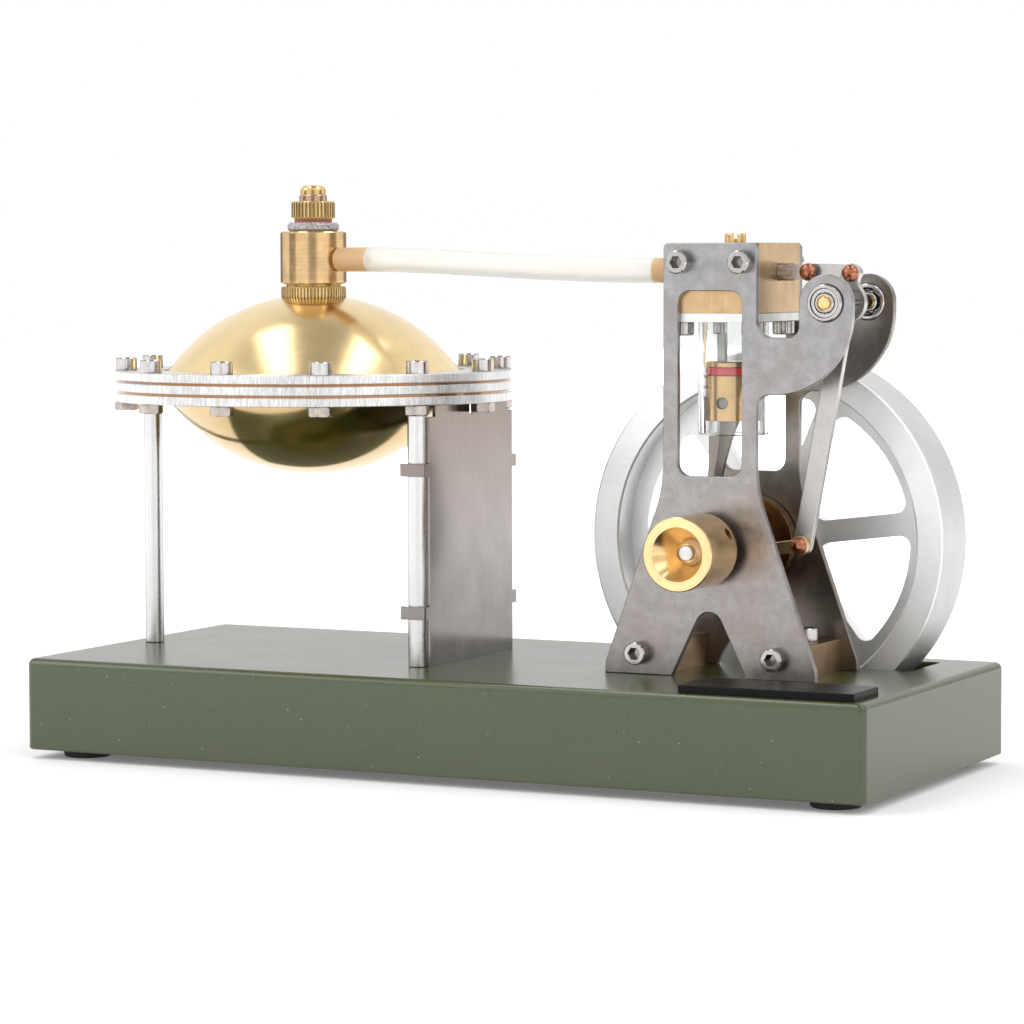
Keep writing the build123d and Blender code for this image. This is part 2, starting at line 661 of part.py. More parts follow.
def side_plate(y):
    """One of the two identical side plates; y is the plane of its rear face."""
    with BuildPart() as plate:
        with BuildSketch(engine_plane(y)) as outline:
            with BuildLine():
                Polyline(
                    (-TOWER_HALF, PLATE_TOP),
                    (TOWER_HALF, PLATE_TOP),
                    (TOWER_HALF, SHOULDER_Z),
                    (LEG_OUT - 0.2, LEG_CORNER),
                    (LEG_OUT, BASE_TOP),
                    (LEG_IN, BASE_TOP),
                    (0, LEG_VERTEX),
                    (-LEG_IN, BASE_TOP),
                    (-LEG_OUT, BASE_TOP),
                    (-LEG_OUT + 0.2, LEG_CORNER),
                    (-TOWER_HALF, SHOULDER_Z),
                    close=True,
                )
            make_face()
            with BuildLine():
                floor_end = ear_left - EAR_FILLET_R
                bend = radians(45)
                Line((TOWER_HALF - 1, EAR_WEB_BOTTOM), (TOWER_HALF - 1, EAR_FLOOR))
                Line((TOWER_HALF - 1, EAR_FLOOR), (floor_end, EAR_FLOOR))
                ThreePointArc(
                    (floor_end, EAR_FLOOR),
                    (floor_end + EAR_FILLET_R * sin(bend), EAR_FLOOR + EAR_FILLET_R * (1 - cos(bend))),
                    (ear_left, EAR_FLOOR + EAR_FILLET_R),
                )
                Line((ear_left, EAR_FLOOR + EAR_FILLET_R), (ear_left, ROCKER[1]))
                ThreePointArc(
                    (ear_left, ROCKER[1]),
                    (ROCKER[0], ROCKER[1] + EAR_R),
                    (ear_right, ROCKER[1]),
                )
                Line((ear_right, ROCKER[1]), (ear_right, ear_arc_z))
                ThreePointArc(
                    (ear_right, ear_arc_z),
                    (ear_arc_x + EAR_ARC_R * cos(bend), ear_arc_z - EAR_ARC_R * sin(bend)),
                    (ear_arc_x, EAR_WEB_BOTTOM),
                )
                Line((ear_arc_x, EAR_WEB_BOTTOM), (TOWER_HALF - 1, EAR_WEB_BOTTOM))
            make_face()
            for corner, radius in (
                ((-TOWER_HALF, PLATE_TOP), 1.5),
                ((TOWER_HALF, PLATE_TOP), 1.5),
                ((TOWER_HALF, EAR_FLOOR), 4.5),
                ((TOWER_HALF, EAR_WEB_BOTTOM), 3.8),
                ((TOWER_HALF, SHOULDER_Z), 40.0),
                ((-TOWER_HALF, SHOULDER_Z), 40.0),
                ((0, LEG_VERTEX), 3.7),
            ):
                fillet(outline.vertices().sort_by_distance(corner)[0], radius)
            with Locations((0, (WINDOW_BOTTOM + WINDOW_TOP) / 2)):
                RectangleRounded(WINDOW_W, WINDOW_TOP - WINDOW_BOTTOM, 3.3, mode=Mode.SUBTRACT)
            with Locations((0, CRANK_Z), ROCKER):
                Circle(BEARING_R + SEAT_GAP, mode=Mode.SUBTRACT)
            with Locations(*UPPER_SCREWS, *LOWER_SCREWS):
                Circle(M3_CLEAR_R, mode=Mode.SUBTRACT)
        extrude(amount=PLATE_T)
        for face in plate.faces().filter_by(Axis.Y):
            chamfer(face.edges(), EDGE_BREAK)
    return plate.part


front_plate_part = side_plate(-plate_in)
with BuildPart() as front_plate:
    add(front_plate_part)
front_plate.part.label = "front_plate"
export_step(front_plate.part, "parts/front_plate.step")

rear_plate_part = side_plate(plate_out)
with BuildPart() as rear_plate:
    add(rear_plate_part)
rear_plate.part.label = "rear_plate"
export_step(rear_plate.part, "parts/rear_plate.step")

# ---------------------------------------------------------------- foot blocks and frame screws
FOOT_BLOCK_W = 12.6
FOOT_BLOCK_H = 8.5
PLATE_SCREW = 6.0
BLOCK_SCREW = FOOT_BLOCK_H + SHEET + 1.0
plate_screw_hole = PLATE_SCREW - PLATE_T + 1.0

with BuildPart() as foot_blocks:
    with BuildSketch(Plane.XY.offset(BASE_TOP)):
        with Locations((ENGINE_X - BLOCK_SCREW_X, 0), (ENGINE_X + BLOCK_SCREW_X, 0)):
            Rectangle(FOOT_BLOCK_W, PLATE_GAP)
    extrude(amount=FOOT_BLOCK_H)
    chamfer(foot_blocks.edges().filter_by(Axis.Y).group_by(Axis.Z)[-1], EDGE_BREAK)
    with BuildSketch(Plane(origin=(ENGINE_X, 0, BASE_TOP))):
        with Locations(*block_screw_points):
            Circle(M3_CLEAR_R)
    extrude(amount=FOOT_BLOCK_H, mode=Mode.SUBTRACT)
    for y, way in ((-plate_in, -1), (plate_in, 1)):
        with BuildSketch(engine_plane(y)):
            with Locations(*LOWER_SCREWS):
                Circle(M3_SHANK_R + SEAT_GAP)
        extrude(amount=way * plate_screw_hole, mode=Mode.SUBTRACT)
foot_blocks.part.label = "foot_blocks"
export_step(foot_blocks.part, "parts/foot_blocks.step")

block_screw = cap_screw(BLOCK_SCREW)
with BuildPart() as foot_block_screws:
    for x, y in block_screw_points:
        with Locations((ENGINE_X + x, y, BASE_TOP + FOOT_BLOCK_H)):
            add(block_screw)
foot_block_screws.part.label = "foot_block_screws"
export_step(foot_block_screws.part, "parts/foot_block_screws.step")

plate_screw = cap_screw(PLATE_SCREW)
with BuildPart() as plate_screws:
    for x, z in UPPER_SCREWS + LOWER_SCREWS:
        for y, tilt in ((-plate_out, 90), (plate_out, -90)):
            with Locations(Location((ENGINE_X + x, y, z), (tilt, 0, 0))):
                add(plate_screw)
plate_screws.part.label = "plate_screws"
export_step(plate_screws.part, "parts/plate_screws.step")

# ---------------------------------------------------------------- valve block and cylinder
FLANGE_SCREW_POINTS = [(sx * 9.9, sy * 10.5) for sx in (-1, 1) for sy in (-1, 1)]
FLANGE_SCREW_GRIP = 4.5
STEAM_PORT_R = 1.2
BLOCK_PLUG_R = 2.8
BLOCK_PLUG_STEM_R = 2.0
BLOCK_PLUG_H = 2.5
BLOCK_PLUG_REACH = 4.5
BLOCK_PLUG_SLOT = (1.1, 1.4)    # width and depth of the screwdriver slot
BLOCK_PLUG_TURN = 116.0         # direction the slot was left in, degrees from +X
SPOOL_START = -8.0          # inner end of the valve spool, from the engine centre line
block_plug_seat = Plane(origin=(ENGINE_X + 0.5, 0, PLATE_TOP))
engine_floor = Plane(origin=(ENGINE_X, 0, block_bottom))
valve_mouth = Plane(origin=(ENGINE_X + BLOCK_W / 2, 0, VALVE_Z), x_dir=(0, 1, 0), z_dir=(1, 0, 0))

with BuildPart() as valve_block:
    with BuildSketch(engine_floor):
        Rectangle(BLOCK_W, PLATE_GAP)
    extrude(amount=BLOCK_H)
    chamfer(valve_block.edges().filter_by(Axis.Y), EDGE_BREAK)
    bore(valve_mouth, SPOOL_R + RUNNING_GAP, -(BLOCK_W / 2 - SPOOL_START + 1))
    bore(inlet_face, NIPPLE_R + SEAT_GAP, NIPPLE_SEAT + 1)
    bore(engine_floor, STEAM_PORT_R, VALVE_Z - block_bottom)
    bore(block_plug_seat, BLOCK_PLUG_STEM_R + SEAT_GAP, -(BLOCK_PLUG_REACH + 0.5))
    with BuildSketch(engine_floor):
        with Locations(*FLANGE_SCREW_POINTS):
            Circle(M3_SHANK_R + SEAT_GAP)
    extrude(amount=FLANGE_SCREW_GRIP + 0.5, mode=Mode.SUBTRACT)
    for y, way in ((-plate_in, -1), (plate_in, 1)):
        with BuildSketch(engine_plane(y)):
            with Locations(*UPPER_SCREWS):
                Circle(M3_SHANK_R + SEAT_GAP)
        extrude(amount=way * plate_screw_hole, mode=Mode.SUBTRACT)
valve_block.part.label = "valve_block"
export_step(valve_block.part, "parts/valve_block.step")

with BuildPart() as block_plug:
    tube(block_plug_seat, BLOCK_PLUG_STEM_R, 0, -BLOCK_PLUG_REACH)
    tube(block_plug_seat, BLOCK_PLUG_R, 0, BLOCK_PLUG_H)
    chamfer(block_plug.edges().group_by(Axis.Z)[-1], HEAD_BEVEL)
    slot_width, slot_depth = BLOCK_PLUG_SLOT
    with BuildSketch(block_plug_seat.offset(BLOCK_PLUG_H)):
        Rectangle(2 * BLOCK_PLUG_R + 1, slot_width, rotation=BLOCK_PLUG_TURN)
    extrude(amount=-slot_depth, mode=Mode.SUBTRACT)
block_plug.part.label = "block_plug"
export_step(block_plug.part, "parts/block_plug.step")

with BuildPart() as cylinder_flange:
    with BuildSketch(Plane(origin=(ENGINE_X, 0, flange_bottom))):
        Rectangle(BLOCK_W, PLATE_GAP - 0.1)
        Circle(CYLINDER_R + SEAT_GAP, mode=Mode.SUBTRACT)
        with Locations(*FLANGE_SCREW_POINTS):
            Circle(M3_CLEAR_R, mode=Mode.SUBTRACT)
    extrude(amount=FLANGE_T)
    chamfer(cylinder_flange.edges().filter_by(Axis.Y), EDGE_BREAK)
cylinder_flange.part.label = "cylinder_flange"
export_step(cylinder_flange.part, "parts/cylinder_flange.step")

flange_screw = cap_screw(FLANGE_T + FLANGE_SCREW_GRIP)
with BuildPart() as flange_screws:
    for x, y in FLANGE_SCREW_POINTS:
        with Locations(Location((ENGINE_X + x, y, flange_bottom), (180, 0, 0))):
            add(flange_screw)
flange_screws.part.label = "flange_screws"
export_step(flange_screws.part, "parts/flange_screws.step")

with BuildPart() as glass_cylinder:
    tube(Plane(origin=(ENGINE_X, 0, CYLINDER_BOTTOM)), CYLINDER_R, CYLINDER_BORE_R,
         block_bottom - CYLINDER_BOTTOM)
    fillet(glass_cylinder.edges().filter_by(GeomType.CIRCLE).group_by(Axis.Z)[0], 2 * EDGE_BREAK)
glass_cylinder.part.label = "glass_cylinder"
export_step(glass_cylinder.part, "parts/glass_cylinder.step")

# ---------------------------------------------------------------- piston and connecting rod
PISTON_BELOW = 4.65
PISTON_ABOVE = 10.8
PISTON_CAVITY_R = 5.45
CROWN_T = 3.5
RING_GROOVE_Z = 7.1         # groove floor height above the wrist pin
RING_GROOVE_H = 2.3
RING_GROOVE_R = 5.9
WRIST_R = 1.5
ROD_T = 1.6
ROD_WAIST = 2.1             # the rod is narrowest halfway between its eyes
piston_r = CYLINDER_BORE_R - RUNNING_GAP
piston_bottom = wrist_z - PISTON_BELOW

with BuildPart() as piston:
    tube(Plane(origin=(ENGINE_X, 0, piston_bottom)), piston_r, 0, PISTON_BELOW + PISTON_ABOVE)
    bore(Plane(origin=(ENGINE_X, 0, piston_bottom)), PISTON_CAVITY_R,
         PISTON_BELOW + PISTON_ABOVE - CROWN_T - RING_GROOVE_H)
    with BuildSketch(Plane(origin=(ENGINE_X, 0, wrist_z + RING_GROOVE_Z))):
        Circle(piston_r + 1)
        Circle(RING_GROOVE_R, mode=Mode.SUBTRACT)
    extrude(amount=RING_GROOVE_H, mode=Mode.SUBTRACT)
    with BuildSketch(engine_plane(-piston_r - 1)):
        with Locations((0, wrist_z)):
            Circle(WRIST_R + SEAT_GAP)
    extrude(amount=-2 * piston_r - 2, mode=Mode.SUBTRACT)
    chamfer(piston.edges().group_by(Axis.Z)[-1], 0.3)
piston.part.label = "piston"
export_step(piston.part, "parts/piston.step")

with BuildPart() as piston_ring:
    tube(Plane(origin=(ENGINE_X, 0, wrist_z + RING_GROOVE_Z + 0.05)), CYLINDER_BORE_R - 0.02,
         RING_GROOVE_R + SEAT_GAP, RING_GROOVE_H - 0.1)
    fillet(piston_ring.edges().filter_by(GeomType.CIRCLE).sort_by(SortBy.RADIUS)[-2:], 0.5)
piston_ring.part.label = "piston_ring"
export_step(piston_ring.part, "parts/piston_ring.step")

pin_half = piston_r - 0.8   # half length of the wrist pin, clear of the cylinder wall
with BuildPart() as wrist_pin:
    with BuildSketch(engine_plane(pin_half)):
        with Locations((0, wrist_z)):
            Circle(WRIST_R)
    extrude(amount=2 * pin_half)
    chamfer(wrist_pin.edges().filter_by(GeomType.CIRCLE), EDGE_BREAK)
wrist_pin.part.label = "wrist_pin"
export_step(wrist_pin.part, "parts/wrist_pin.step")

CRANK_PIN_R = 1.75
BUSH_R = 3.0
BIG_EYE_R = 4.6
SMALL_EYE_R = 3.6
rod_start = (0, wrist_z)
rod_end = (-THROW, CRANK_Z)
rod_lean = degrees(asin(THROW / ROD_LENGTH))
rod_middle = ((rod_start[0] + rod_end[0]) / 2, (rod_start[1] + rod_end[1]) / 2)

with BuildSketch() as rod_shank:
    with BuildLine():
        half = ROD_LENGTH / 2
        ThreePointArc((SMALL_EYE_R, half), (ROD_WAIST / 2, 0), (SMALL_EYE_R, -half))
        Line((SMALL_EYE_R, -half), (-SMALL_EYE_R, -half))
        ThreePointArc((-SMALL_EYE_R, -half), (-ROD_WAIST / 2, 0), (-SMALL_EYE_R, half))
        Line((-SMALL_EYE_R, half), (SMALL_EYE_R, half))
    make_face()

with BuildPart() as con_rod:
    with BuildSketch(engine_plane(ROD_T / 2)):
        with Locations(rod_start):
            Circle(SMALL_EYE_R)
        with Locations(rod_end):
            Circle(BIG_EYE_R)
        with Locations(Location((rod_middle[0], rod_middle[1], 0), (0, 0, -rod_lean))):
            add(rod_shank.sketch)
        with Locations(rod_start):
            Circle(WRIST_R + RUNNING_GAP, mode=Mode.SUBTRACT)
        with Locations(rod_end):
            Circle(BUSH_R + SEAT_GAP, mode=Mode.SUBTRACT)
    extrude(amount=ROD_T)
con_rod.part.label = "con_rod"
export_step(con_rod.part, "parts/con_rod.step")

with BuildPart() as big_end_bush:
    with BuildSketch(engine_plane(ROD_T / 2)):
        with Locations(rod_end):
            Circle(BUSH_R)
            Circle(CRANK_PIN_R + RUNNING_GAP, mode=Mode.SUBTRACT)
    extrude(amount=ROD_T)
big_end_bush.part.label = "big_end_bush"
export_step(big_end_bush.part, "parts/big_end_bush.step")

# ---------------------------------------------------------------- crankshaft
DISC_R = 12.6
DISC_FRONT = 9.9
DISC_T = 3.5
DISC_RIM = 3.2
DISC_RECESS = 1.5
SHEAVE_FRONT = -4.8
SHEAVE_T = 2.5
PIN_GAP = 0.1               # free space between each crank pin stub and the rod
PULLEY_RECESS = 5.4         # depth of the turned recess in the pulley's face
PULLEY_RECESS_R = 7.0
PULLEY_CONE_R = 2.45        # the recess narrows to this round the shaft
PULLEY_WELL = 1.2
SPACER_R = 3.5
HUB_R = 9.0
HUB_FRONT = 20.0
HUB_W = 17.0
shaft_front = PULLEY_FRONT + PULLEY_RECESS
shaft_rear = HUB_FRONT + HUB_W + 2.0
recess_floor = DISC_FRONT + DISC_RECESS
sheave_back = SHEAVE_FRONT + SHEAVE_T
crank_axis = (0, CRANK_Z)
sheave_axis = (0, CRANK_Z - ECCENTRICITY)


def slab(front, back, centre, outer, inner=0):
    """Disc or ring across the crank direction, from depth front to depth back."""
    with BuildSketch(engine_plane(back)) as section:
        with Locations(centre):
            Circle(outer)
            if inner:
                Circle(inner, mode=Mode.SUBTRACT)
    extrude(section.sketch, amount=back - front)


with BuildPart() as crank_shafts:
    slab(shaft_front, sheave_back - 0.05, crank_axis, SHAFT_R)
    slab(recess_floor, shaft_rear, crank_axis, SHAFT_R)
    chamfer(crank_shafts.edges().filter_by(GeomType.CIRCLE), EDGE_BREAK)
crank_shafts.part.label = "crank_shafts"
export_step(crank_shafts.part, "parts/crank_shafts.step")

with BuildPart() as shaft_spacers:
    slab(-bearing_front, SHEAVE_FRONT, crank_axis, SPACER_R, SHAFT_R + SEAT_GAP)
    slab(bearing_back, HUB_FRONT, crank_axis, SPACER_R, SHAFT_R + SEAT_GAP)
shaft_spacers.part.label = "shaft_spacers"
export_step(shaft_spacers.part, "parts/shaft_spacers.step")

with BuildPart() as eccentric_sheave:
    slab(SHEAVE_FRONT, sheave_back, sheave_axis, SHEAVE_R)
    for centre, radius in ((crank_axis, SHAFT_R), (rod_end, CRANK_PIN_R)):
        with BuildSketch(engine_plane(sheave_back)):
            with Locations(centre):
                Circle(radius + SEAT_GAP)
        extrude(amount=SHEAVE_T, mode=Mode.SUBTRACT)
eccentric_sheave.part.label = "eccentric_sheave"
export_step(eccentric_sheave.part, "parts/eccentric_sheave.step")

with BuildPart() as crank_disc:
    slab(DISC_FRONT, DISC_FRONT + DISC_T, crank_axis, DISC_R, SHAFT_R + SEAT_GAP)
    with BuildSketch(engine_plane(recess_floor)):
        with Locations(crank_axis):
            Circle(DISC_R - DISC_RIM)
    extrude(amount=DISC_RECESS, mode=Mode.SUBTRACT)
    with BuildSketch(engine_plane(DISC_FRONT + DISC_T)):
        with Locations(rod_end):
            Circle(CRANK_PIN_R + SEAT_GAP)
    extrude(amount=DISC_T, mode=Mode.SUBTRACT)
crank_disc.part.label = "crank_disc"
export_step(crank_disc.part, "parts/crank_disc.step")

with BuildPart() as crank_pin:
    slab(SHEAVE_FRONT + 0.2, -ROD_T / 2 - PIN_GAP, rod_end, CRANK_PIN_R)
    slab(ROD_T / 2 + PIN_GAP, DISC_FRONT + DISC_T - 0.1, rod_end, CRANK_PIN_R)
crank_pin.part.label = "crank_pin"
export_step(crank_pin.part, "parts/crank_pin.step")

SET_SCREW_R = 1.5
SET_SCREW_TURN = 30         # degrees above +X
PULLEY_SCREW_Y = -22.6
FLYWHEEL_SCREW_Y = 23.0


def radial_plane(y, start):
    """Plane across a radial hole of the crankshaft, at a distance from the crank axis."""
    way = (cos(radians(SET_SCREW_TURN)), 0, sin(radians(SET_SCREW_TURN)))
    origin = (ENGINE_X + start * way[0], y, CRANK_Z + start * way[2])
    return Plane(origin=origin, x_dir=(0, 1, 0), z_dir=way)


with BuildPart() as belt_pulley:
    slab(PULLEY_FRONT, PULLEY_FRONT + PULLEY_W, crank_axis, PULLEY_R)
    chamfer(belt_pulley.edges().filter_by(GeomType.CIRCLE), 0.25)
    slab(PULLEY_FRONT + PULLEY_W, -bearing_back, crank_axis, SPACER_R)
    with BuildSketch(engine_plane(-bearing_back)):
        with Locations(crank_axis):
            Circle(SHAFT_R + SEAT_GAP)
    extrude(amount=-bearing_back - PULLEY_FRONT, mode=Mode.SUBTRACT)
    bore(engine_plane(PULLEY_FRONT + PULLEY_RECESS + PULLEY_WELL, (0, CRANK_Z)), PULLEY_CONE_R,
         PULLEY_RECESS + PULLEY_WELL)
    with BuildSketch(engine_plane(PULLEY_FRONT, (0, CRANK_Z))):
        Circle(PULLEY_RECESS_R)
    with BuildSketch(engine_plane(PULLEY_FRONT + PULLEY_RECESS, (0, CRANK_Z))):
        Circle(PULLEY_CONE_R)
    loft(mode=Mode.SUBTRACT)
    bore(radial_plane(PULLEY_SCREW_Y, 0), SET_SCREW_R + SEAT_GAP, PULLEY_R + 1)
belt_pulley.part.label = "belt_pulley"
export_step(belt_pulley.part, "parts/belt_pulley.step")

RIM_IN = 43.0
WEB_T = 4.0
WINDOW_R = 38.3
WINDOW_IN = 13.0
SPOKE_W = 6.0
SPOKE_COUNT = 6
SPOKE_TURN = 7.0
flywheel_back = FLYWHEEL_FRONT + FLYWHEEL_W
web_front = 30.4

with BuildPart() as flywheel:
    slab(FLYWHEEL_FRONT, flywheel_back, crank_axis, FLYWHEEL_R, RIM_IN)
    chamfer(flywheel.edges().filter_by(GeomType.CIRCLE), 0.5)
    slab(web_front, web_front + WEB_T, crank_axis, RIM_IN + 0.5)
    slab(HUB_FRONT, HUB_FRONT + HUB_W, crank_axis, HUB_R)
    with BuildSketch(engine_plane(web_front + WEB_T)) as windows:
        with Locations(crank_axis):
            Circle(WINDOW_R)
            Circle(WINDOW_IN, mode=Mode.SUBTRACT)
        with Locations(crank_axis):
            with PolarLocations(0, SPOKE_COUNT, start_angle=SPOKE_TURN):
                Rectangle(2 * WINDOW_R, SPOKE_W, align=(Align.MIN, Align.CENTER), mode=Mode.SUBTRACT)
        fillet(windows.vertices(), 3.0)
    extrude(amount=WEB_T, mode=Mode.SUBTRACT)
    with BuildSketch(engine_plane(HUB_FRONT + HUB_W)):
        with Locations(crank_axis):
            Circle(SHAFT_R + SEAT_GAP)
    extrude(amount=HUB_W, mode=Mode.SUBTRACT)
    bore(radial_plane(FLYWHEEL_SCREW_Y, 0), SET_SCREW_R + SEAT_GAP, HUB_R + 1)
flywheel.part.label = "flywheel"
export_step(flywheel.part, "parts/flywheel.step")

with BuildPart() as set_screws:
    for y, reach in ((PULLEY_SCREW_Y, 6.0), (FLYWHEEL_SCREW_Y, 6.5)):
        tube(radial_plane(y, SHAFT_R + 0.05), SET_SCREW_R, 0, reach)
        with BuildSketch(radial_plane(y, SHAFT_R + 0.05 + reach)):
            RegularPolygon(0.75, 6, major_radius=False)
        extrude(amount=-1.5, mode=Mode.SUBTRACT)
set_screws.part.label = "set_screws"
export_step(set_screws.part, "parts/set_screws.step")

# ---------------------------------------------------------------- ball bearings
RACE_IN_R = 2.65            # outside of the inner race
RACE_OUT_R = 3.75           # inside of the outer race
BALL_R = 0.52
BALL_COUNT = 11
SHIELD_LIP_T = 0.25
SHIELD_INSET = 0.4
RACE_BEVEL = 0.3
bearing_fronts = (-bearing_back, bearing_front)

def race(front, centre, outer, inner):
    """One race of a ball bearing, with bevelled outer corners."""
    with BuildPart() as ring:
        slab(front, front + BEARING_W, centre, outer, inner)
        chamfer(ring.edges().filter_by(GeomType.CIRCLE).sort_by(SortBy.RADIUS)[-2:], RACE_BEVEL)
    return ring.part


with BuildPart() as bearing_outers:
    for front in bearing_fronts:
        for centre in (crank_axis, ROCKER):
            add(race(front, centre, BEARING_R, RACE_OUT_R))
            shield = front + SHIELD_INSET if front < 0 else front + BEARING_W - SHIELD_INSET - SHIELD_LIP_T
            slab(shield, shield + SHIELD_LIP_T, centre, BEARING_R - RACE_BEVEL, RACE_IN_R + 0.1)
bearing_outers.part.label = "bearing_outers"
export_step(bearing_outers.part, "parts/bearing_outers.step")

with BuildPart() as crank_bearing_inners:
    for front in bearing_fronts:
        add(race(front, crank_axis, RACE_IN_R, SHAFT_R + SEAT_GAP))
crank_bearing_inners.part.label = "crank_bearing_inners"
export_step(crank_bearing_inners.part, "parts/crank_bearing_inners.step")

with BuildPart() as rocker_bearing_inners:
    for front in bearing_fronts:
        add(race(front, ROCKER, RACE_IN_R, SHAFT_R + SEAT_GAP))
rocker_bearing_inners.part.label = "rocker_bearing_inners"
export_step(rocker_bearing_inners.part, "parts/rocker_bearing_inners.step")

with BuildPart() as bearing_balls:
    for front in bearing_fronts:
        for centre in (crank_axis, ROCKER):
            for step in range(BALL_COUNT):
                angle = radians(step * 360 / BALL_COUNT)
                ring_r = (RACE_IN_R + RACE_OUT_R) / 2
                x = ENGINE_X + centre[0] + ring_r * cos(angle)
                z = centre[1] + ring_r * sin(angle)
                with Locations((x, front + BEARING_W / 2, z)):
                    Sphere(BALL_R)
bearing_balls.part.label = "bearing_balls"
export_step(bearing_balls.part, "parts/bearing_balls.step")

# ---------------------------------------------------------------- valve gear
STRAP_FRONT = -4.5
STRAP_T = 2.0
LEVER_FRONT = -2.25
LEVER_T = 2.0
LEVER_W = 5.0
LINK_FRONT = -0.15
LINK_T = 1.5
TANG_FRONT = -2.0
TANG_T = 1.75
lever_back = LEVER_FRONT + LEVER_T
link_back = LINK_FRONT + LINK_T
strap_back = STRAP_FRONT + STRAP_T
TAIL_R = 1.6
TAIL_H = 0.6
SHAFT_PROUD = 0.3           # the rocker shaft stands this far out of its bearings
SHAFT_END_R = 1.6           # its turned-down ends leave a gap inside the inner races
SHAFT_STEP = 0.8
STRAP_ARM_W = 3.4
STRAP_EYE_R = 2.4
LEVER_BOSS_R = 5.5
COLLAR_AF = 7.0
COLLAR_T = 3.2
LINK_W = 4.4
LINK_HOLE_GAP = 0.08
LEVER_NECK_R = 2.5          # rounding where the lever's arms meet its boss

with BuildPart() as eccentric_strap:
    with BuildSketch(engine_plane(strap_back)):
        link_bar(sheave_axis, LEVER_FOOT, STRAP_ARM_W)
        with Locations(LEVER_FOOT):
            Circle(STRAP_EYE_R)
        with Locations(sheave_axis):
            Circle(STRAP_R)
            Circle(SHEAVE_R + RUNNING_GAP, mode=Mode.SUBTRACT)
        with Locations(LEVER_FOOT):
            Circle(RIVET_R + SEAT_GAP, mode=Mode.SUBTRACT)
    extrude(amount=STRAP_T)
    chamfer([face.outer_wire().edges() for face in eccentric_strap.faces().filter_by(Axis.Y)], EDGE_BREAK)
eccentric_strap.part.label = "eccentric_strap"
export_step(eccentric_strap.part, "parts/eccentric_strap.step")

domed_head = rivet_head()
with BuildPart() as strap_rivet:
    slab(STRAP_FRONT, strap_back, LEVER_FOOT, RIVET_R)
    with Locations(facing_front(STRAP_FRONT, LEVER_FOOT)):
        add(domed_head)
strap_rivet.part.label = "strap_rivet"
export_step(strap_rivet.part, "parts/strap_rivet.step")

with BuildPart() as valve_lever:
    with BuildSketch(engine_plane(lever_back)) as lever_outline:
        link_bar(LEVER_FOOT, ROCKER, LEVER_W)
        link_bar(ROCKER, LEVER_TOP, LEVER_W)
        with Locations(ROCKER):
            Circle(LEVER_BOSS_R)
        necks = lever_outline.vertices().filter_by(
            lambda v: abs(hypot(v.X - ROCKER[0], v.Y - ROCKER[1]) - LEVER_BOSS_R) < EDGE_BREAK
        )
        fillet(necks, LEVER_NECK_R)
        with Locations(ROCKER):
            Circle(SHAFT_R + SEAT_GAP, mode=Mode.SUBTRACT)
        with Locations(LEVER_FOOT, LEVER_TOP):
            Circle(RIVET_R + SEAT_GAP, mode=Mode.SUBTRACT)
    extrude(amount=LEVER_T)
    chamfer([face.outer_wire().edges() for face in valve_lever.faces().filter_by(Axis.Y)], EDGE_BREAK)
valve_lever.part.label = "valve_lever"
export_step(valve_lever.part, "parts/valve_lever.step")

with BuildPart() as lever_rivets:
    slab(LEVER_FRONT, link_back, LEVER_TOP, RIVET_R)
    with Locations(facing_front(LEVER_FRONT, LEVER_TOP)):
        add(domed_head)
    slab(link_back, link_back + TAIL_H, LEVER_TOP, TAIL_R)
    slab(LEVER_FRONT, lever_back, LEVER_FOOT, RIVET_R)
    slab(lever_back, lever_back + TAIL_H, LEVER_FOOT, TAIL_R)
lever_rivets.part.label = "lever_rivets"
export_step(lever_rivets.part, "parts/lever_rivets.step")

with BuildPart() as rocker_shaft:
    slab(-bearing_back + SHAFT_STEP, bearing_back - SHAFT_STEP, ROCKER, SHAFT_R)
    slab(-bearing_back - SHAFT_PROUD, bearing_back + SHAFT_PROUD, ROCKER, SHAFT_END_R)
    rims = rocker_shaft.edges().filter_by(GeomType.CIRCLE).sort_by(Axis.Y)
    chamfer([rims[0], rims[-1]], EDGE_BREAK)
rocker_shaft.part.label = "rocker_shaft"
export_step(rocker_shaft.part, "parts/rocker_shaft.step")

with BuildPart() as rocker_collar:
    with BuildSketch(engine_plane(LEVER_FRONT)):
        with Locations(ROCKER):
            RegularPolygon(COLLAR_AF / 2, 6, major_radius=False)
            Circle(SHAFT_R + SEAT_GAP, mode=Mode.SUBTRACT)
    extrude(amount=COLLAR_T)
rocker_collar.part.label = "rocker_collar"
export_step(rocker_collar.part, "parts/rocker_collar.step")

with BuildPart() as valve_link:
    with BuildSketch(engine_plane(link_back)):
        link_bar(TANG_PIN, LEVER_TOP, LINK_W)
        with Locations(TANG_PIN, LEVER_TOP):
            Circle(RIVET_R + LINK_HOLE_GAP, mode=Mode.SUBTRACT)
    extrude(amount=LINK_T)
valve_link.part.label = "valve_link"
export_step(valve_link.part, "parts/valve_link.step")

TANG_START = BLOCK_W / 2 + 4.0
SPOOL_WAIST_R = 1.4
SPOOL_WAIST = 3.0

